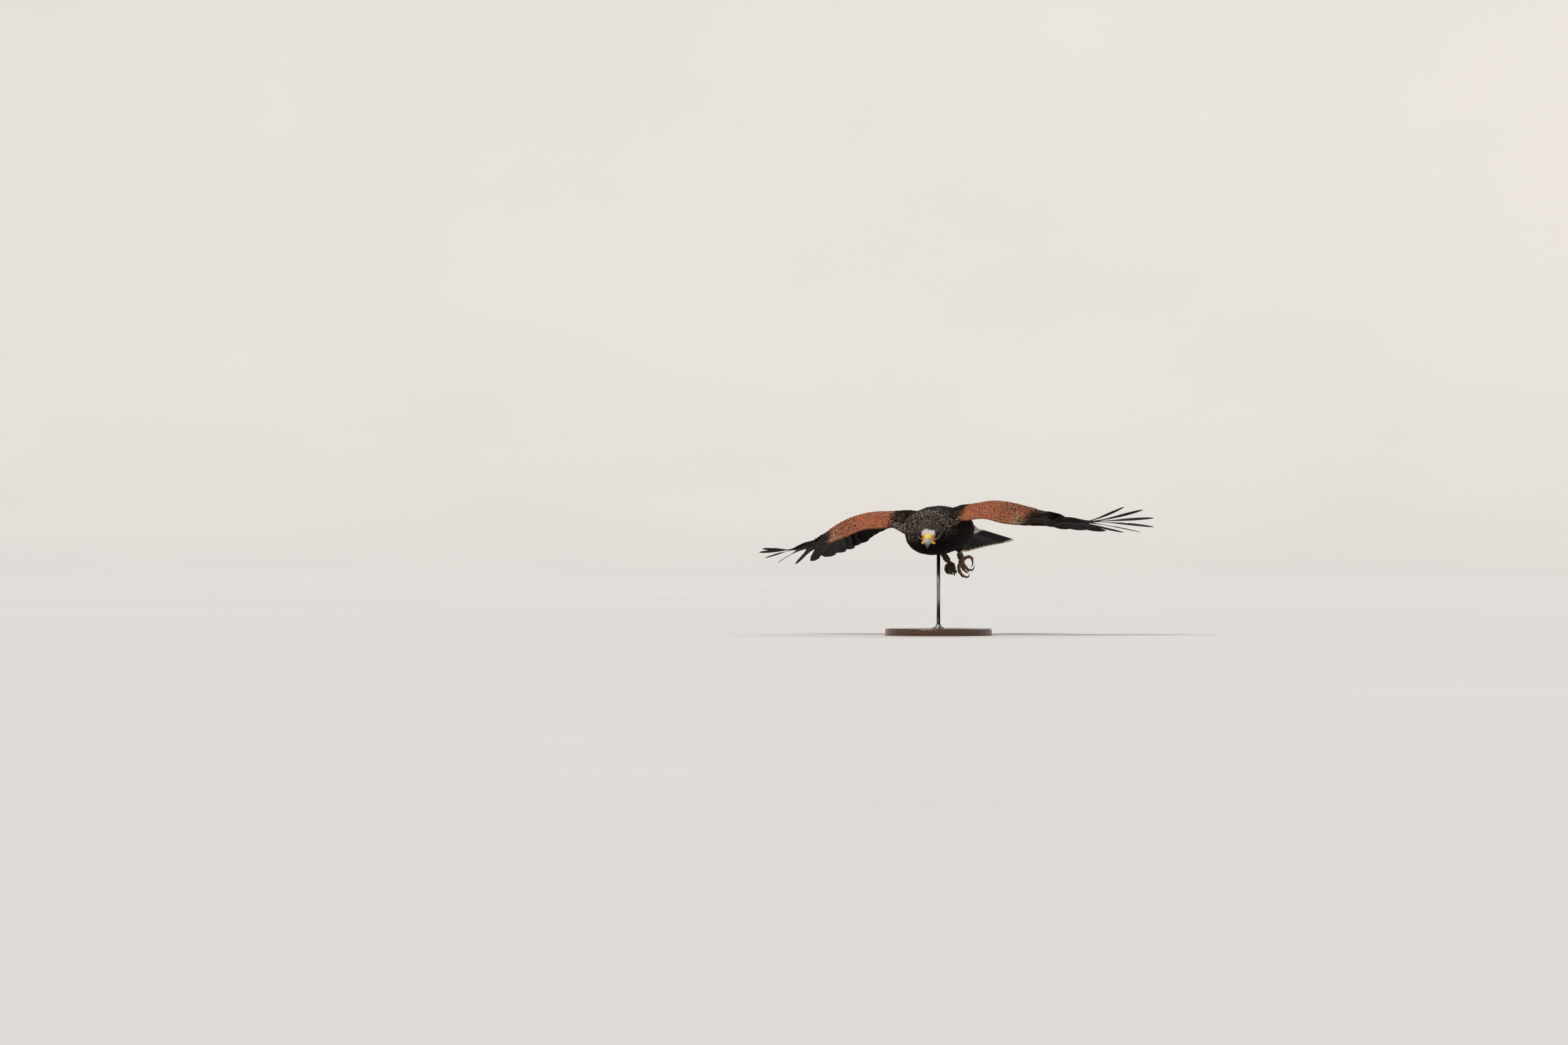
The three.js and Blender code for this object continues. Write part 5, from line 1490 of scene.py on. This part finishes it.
def buildFoot(name, leg):
    ankle, palm = legLine(leg)
    joined = bmesh.new()
    start = mixed(ankle, palm, 0.12)
    line = smoothLine([start, mixed(start, palm, 0.5), palm], 70)
    run = np.linspace(0, np.linalg.norm(palm - start), 70)
    radii = foot["tarsus"] + foot["tarsusSwell"] * ease(run / run[-1], 0.72, 1)
    radii = radii + foot["scuteRise"] * np.sin(run * 2 * math.pi / foot["scute"])
    addBody(joined, toWorld(tube(line, radii, 28)))
    bones = [np.column_stack([line, run / foot["scute"]])]
    pad = np.array(leg["pad"], float)
    ballLine = smoothLine([pad - upward * leg["ball"], pad, pad + upward * leg["ball"]], 17)
    addBody(joined, toWorld(tube(ballLine, leg["ball"] * np.sin(np.linspace(0.12, math.pi - 0.12, 17)), 24)))
    for toe in leg["toes"]:
        addBody(joined, toWorld(toeRings(bones, palm, toe[:3])))
    points, faces = voxelMesh(joined, foot["voxel"])
    points = relaxed(points, faces, 2)
    # Faces that look down are painted darker: painted shade under the toes and the ball.
    low = ease(-pointNormals(points, faces) @ axes[2], -0.2, 0.8)[:, None]
    tone = linear(leg["shadedOchre"]) * mixed(1, foot["under"], low)
    bones = np.vstack(bones)
    nearestBone = np.argmin(((toBird(points)[:, None] - bones[None, :, :3]) ** 2).sum(-1), axis=1)
    seam = ease(np.cos(2 * math.pi * bones[nearestBone, 3:]), 0.55, 1) * (1 - 0.7 * low)
    piece = meshPiece("foot_skin_" + name, points, faces, footMaterial, tone * (1.08 - foot["seam"] * seam))
    settle(piece, "scaly_skin", "foot_" + name)
    print("foot", name, "has", len(faces) * 2, "triangles")
    for number, toe in enumerate(leg["toes"], 1):
        _, knuckle, end, bend, tip = np.array(toe, float)
        first = mixed(end, knuckle, leg["clawFrom"])
        t = np.linspace(0, 1, 36)
        bend = 2 * bend - (first + tip) / 2  # so that the arc passes through the bend
        line = np.outer((1 - t) ** 2, first) + np.outer(2 * t * (1 - t), bend) + np.outer(t ** 2, tip)
        radii = foot["claw"] * (1 - t) ** 0.75 + foot["clawTip"]
        shares = np.append(np.repeat(t, 20), [0, 1])[:, None]
        tone = mixed(linear(foot["clawBase"]), linear(foot["clawEnd"]), ease(shares, 0, 0.3))
        label, rings = f"{name}_{number}", tube(line, radii, 20, (0.85, 1))
        bodyPiece("talon_" + label, rings, clawMaterial, tone, "claw", "claw_" + label)


# dark is the painted shade of the bell's slot.
worn = {
    "anklet": {"inner": 5.75, "outer": 6.95, "length": 13, "along": 0.6},
    "eyelet": {"radius": 2.3, "hole": 0.9, "thickness": 1.1},
    "bell": {"radius": 6.4, "place": (-118, -20, -76.5), "mouth": (0.25, -0.45, -0.86), "slot": 1.1,
             "seam": 0.35},
    "strap": {"along": 0.34, "width": 4, "thick": 1.2, "half": 1.4},
    "leather": "#3a2416", "brass": "#b9933c", "dark": "#1b120a",
}


def ringPiece(name, outline, middle, axis, material, slot, node, count):
    # A closed ring from its half outline (radius, height) turned about an axis.
    axis = unit(axis)
    side = unit(np.cross(axis, [0.31, 0.2, 0.93]))
    other = np.cross(axis, side)
    turn = around(count)[:, None]
    rings = [middle + axis * h + r * (side * np.cos(turn) + other * np.sin(turn)) for r, h in outline]
    faces = ringFaces(len(rings), count, True)
    settle(meshPiece(name, toWorld(np.vstack(rings)), faces, material, linear(worn[slot])), slot, node)


def roundedBand(inner, outer, half, edge=0.45):
    return [(inner, -half + edge), (inner + edge, -half), (outer - edge, -half), (outer, -half + edge),
            (outer + 0.1, -half * 0.4), (outer, 0), (outer + 0.1, half * 0.4), (outer, half - edge),
            (outer - edge, half), (inner + edge, half), (inner, half - edge)]


def buildWorn(side, name):
    ankle, palm = legLine(legs[name])
    down = unit(palm - ankle)
    anklet, size = worn["anklet"], worn["eyelet"]
    middle = mixed(ankle, palm, anklet["along"])
    outline = roundedBand(anklet["inner"], anklet["outer"], anklet["length"] / 2)
    ringPiece("anklet_band_" + name, outline, middle, down, leatherMaterial, "leather", "anklet_" + name, 56)
    outward = np.array([0.35, side, 0.1])
    outward = unit(outward - down * (outward @ down))
    rim, hole, thick = size["radius"], size["hole"], size["thickness"]
    outline = [(hole, 0.0), (rim, 0.0), (rim, thick * 0.4), (rim - 0.35, thick * 0.85),
               (mixed(rim, hole, 0.5), thick), (hole + 0.2, thick * 0.8), (hole, thick * 0.4)]
    spot = middle + outward * (anklet["outer"] + 0.1)
    ringPiece("eyelet_rim_" + name, outline, spot, outward, brassMaterial, "brass", "eyelet_" + name, 32)


def buildBell():
    size, strap = worn["bell"], worn["strap"]
    centre, gaze = np.array(size["place"]), unit(np.array(size["mouth"]))
    along = unit(np.cross(gaze, upward))
    rings = sphereRings(size["radius"], 40, 56, (gaze, along, np.cross(gaze, along)), 0)
    height, across = rings @ gaze / size["radius"], rings @ along / size["radius"]
    rings += unit(rings) * (size["seam"] * np.exp(-(height / 0.05) ** 2))[..., None]
    slot = ease(np.abs(across), 0.14, 0.08) * ease(height, 0.3, 0.45)
    rings -= unit(rings) * (size["slot"] * slot)[..., None]
    # The slot is painted near black: painted shade inside the bell's opening.
    tone = mixed(linear(worn["brass"]), linear(worn["dark"]), np.append(slot.ravel(), [1, 0])[:, None])
    bodyPiece("bell_body", rings + centre, brassMaterial, tone, "brass", "bell")
    ankle, palm = legLine(legs["right"])
    middle = mixed(ankle, palm, strap["along"])
    inner = worn["anklet"]["inner"] - 0.4
    outline = roundedBand(inner, inner + strap["thick"] + 0.3, strap["width"] / 2, 0.3)
    ringPiece("bell_strap_band", outline, middle, palm - ankle, leatherMaterial, "leather", "bell_strap", 40)
    reach, way = np.linalg.norm(centre - middle), unit(centre - middle)
    line = smoothLine([middle + way * (inner - 0.2), middle + way * (reach - size["radius"] + 0.4)], 12)
    rings = tube(line, np.full(12, strap["half"]), 16, (1.2, 0.7))
    bodyPiece("bell_strap_tongue", rings, leatherMaterial, linear(worn["leather"]), "leather")


# The stand
stand = {"radius": 120, "height": 16, "rod": 4, "wood": ("#2c180c", "#5a351d"),
         "steel": ("#85888d", "#9a9da2")}  # mm


def woodMaterial():
    # Walnut-stained hardwood, turned, sanded and varnished: rings of grain under a satin shine.
    varnish = {"Roughness": 0.32, "Coat Weight": 0.35, "Coat Roughness": 0.18}
    material = newMaterial("varnishedTurnedWood", varnish)
    stretch = addNode(material, "Mapping", {"Location": (0.05, 0.31, 0.02), "Scale": (1.0, 0.12, 0.6)},
                      {"Vector": objectPlace(material)})
    rings = {"wave_type": "RINGS", "rings_direction": "Y", "Scale": 55.0, "Distortion": 4.0, "Detail": 3.0,
             "Detail Scale": 1.4}
    grain = addNode(material, "TexWave", rings, {"Vector": stretch})
    pores = addNode(material, "TexNoise", {"Scale": 700.0, "Detail": 2.0}, {"Vector": stretch})
    ramp = addNode(material, "ValToRGB", {"ramp": stand["wood"]}, {0: grain.outputs[1]})
    speck = addNode(material, "MapRange", {1: 0.35, 2: 0.65, 3: 0.75, 4: 1.1}, {0: pores})
    return surfaced(material, ramp, speck, pores, 0.2, 0.0002)


def steelMaterial():
    # Round steel bar brushed about its axis: long, soft highlights crossed by fine lines.
    material = newMaterial("brushedSteelBar", {"Metallic": 1.0, "Roughness": 0.34})
    stretch = addNode(material, "Mapping", {"Scale": (1.0, 1.0, 40.0)}, {"Vector": objectPlace(material)})
    lines = addNode(material, "TexNoise", {"Scale": 60.0, "Detail": 2.0}, {"Vector": stretch})
    ramp = addNode(material, "ValToRGB", {"ramp": stand["steel"]}, {0: lines})
    return surfaced(material, ramp, None, lines, 0.15, 0.00005)


def turnedPiece(name, outline, count, material, slot, node):
    rings = latheRings([(r / 1000, h / 1000) for r, h in outline], count)
    settle(meshPiece(name, rings.reshape(-1, 3), ringFaces(len(outline), count, True), material), slot, node)


def arc(middle, radius, first, last, count):
    turn = np.radians(np.linspace(first, last, count))
    return list(zip(middle[0] + radius * np.cos(turn), middle[1] + radius * np.sin(turn)))


def buildStand():
    r, h = stand["radius"], stand["height"]
    outline = [(0.01, 0.0), (r - 1, 0.0), (r, 1.0), (r, h - 4)] + arc((r - 3, h - 3), 3, 0, 90, 9)
    outline += [(r - 9, h)] + arc((r - 10, h), 0.8, 0, -180, 7) + [(r - 12, h), (0.01, h)]
    turnedPiece("base_disc", outline, 128, woodMaterial(), "stained_wood", "stand_base")
    steel, low = steelMaterial(), h + 0.05
    outline = [(4.1, low), (12.6, low), (13, low + 0.4), (13, low + 2.2)]
    outline += arc((12.2, low + 2.2), 0.8, 0, 90, 5) + [(8.5, low + 3)]
    outline += arc((8.5, low + 4.5), 1.5, -90, -180, 5) + [(6.6, low + 8), (6, low + 9), (4.1, low + 9)]
    turnedPiece("collar_ring", outline, 64, steel, "steel", "stand_collar")
    rod, top = stand["rod"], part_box("stand_rod")[1][2] * 1000 + 1
    outline = [(0.01, low), (rod, low), (rod, top), (0.01, top)]
    turnedPiece("rod_bar", outline, 48, steel, "steel", "stand_rod")


buildCamera()
buildFloor()
buildLights()
print("stage ready")
skin = buildSkin()
buildCoat(skin)
for name, side in sides.items():
    buildCoverts(side, name)
    buildHandCoverts(side, name)
    buildPrimaries(side, name)
    buildSecondaries(side, name)
    buildEye(side, name)
    buildFoot(name, legs[name])
    buildWorn(side, name)
buildTail()
buildTailCoverts(skin)
buildBill()
buildCere()
for name, side in sides.items():
    buildGape(side, name, skin)
buildBell()
buildStand()
print("pieces ready")
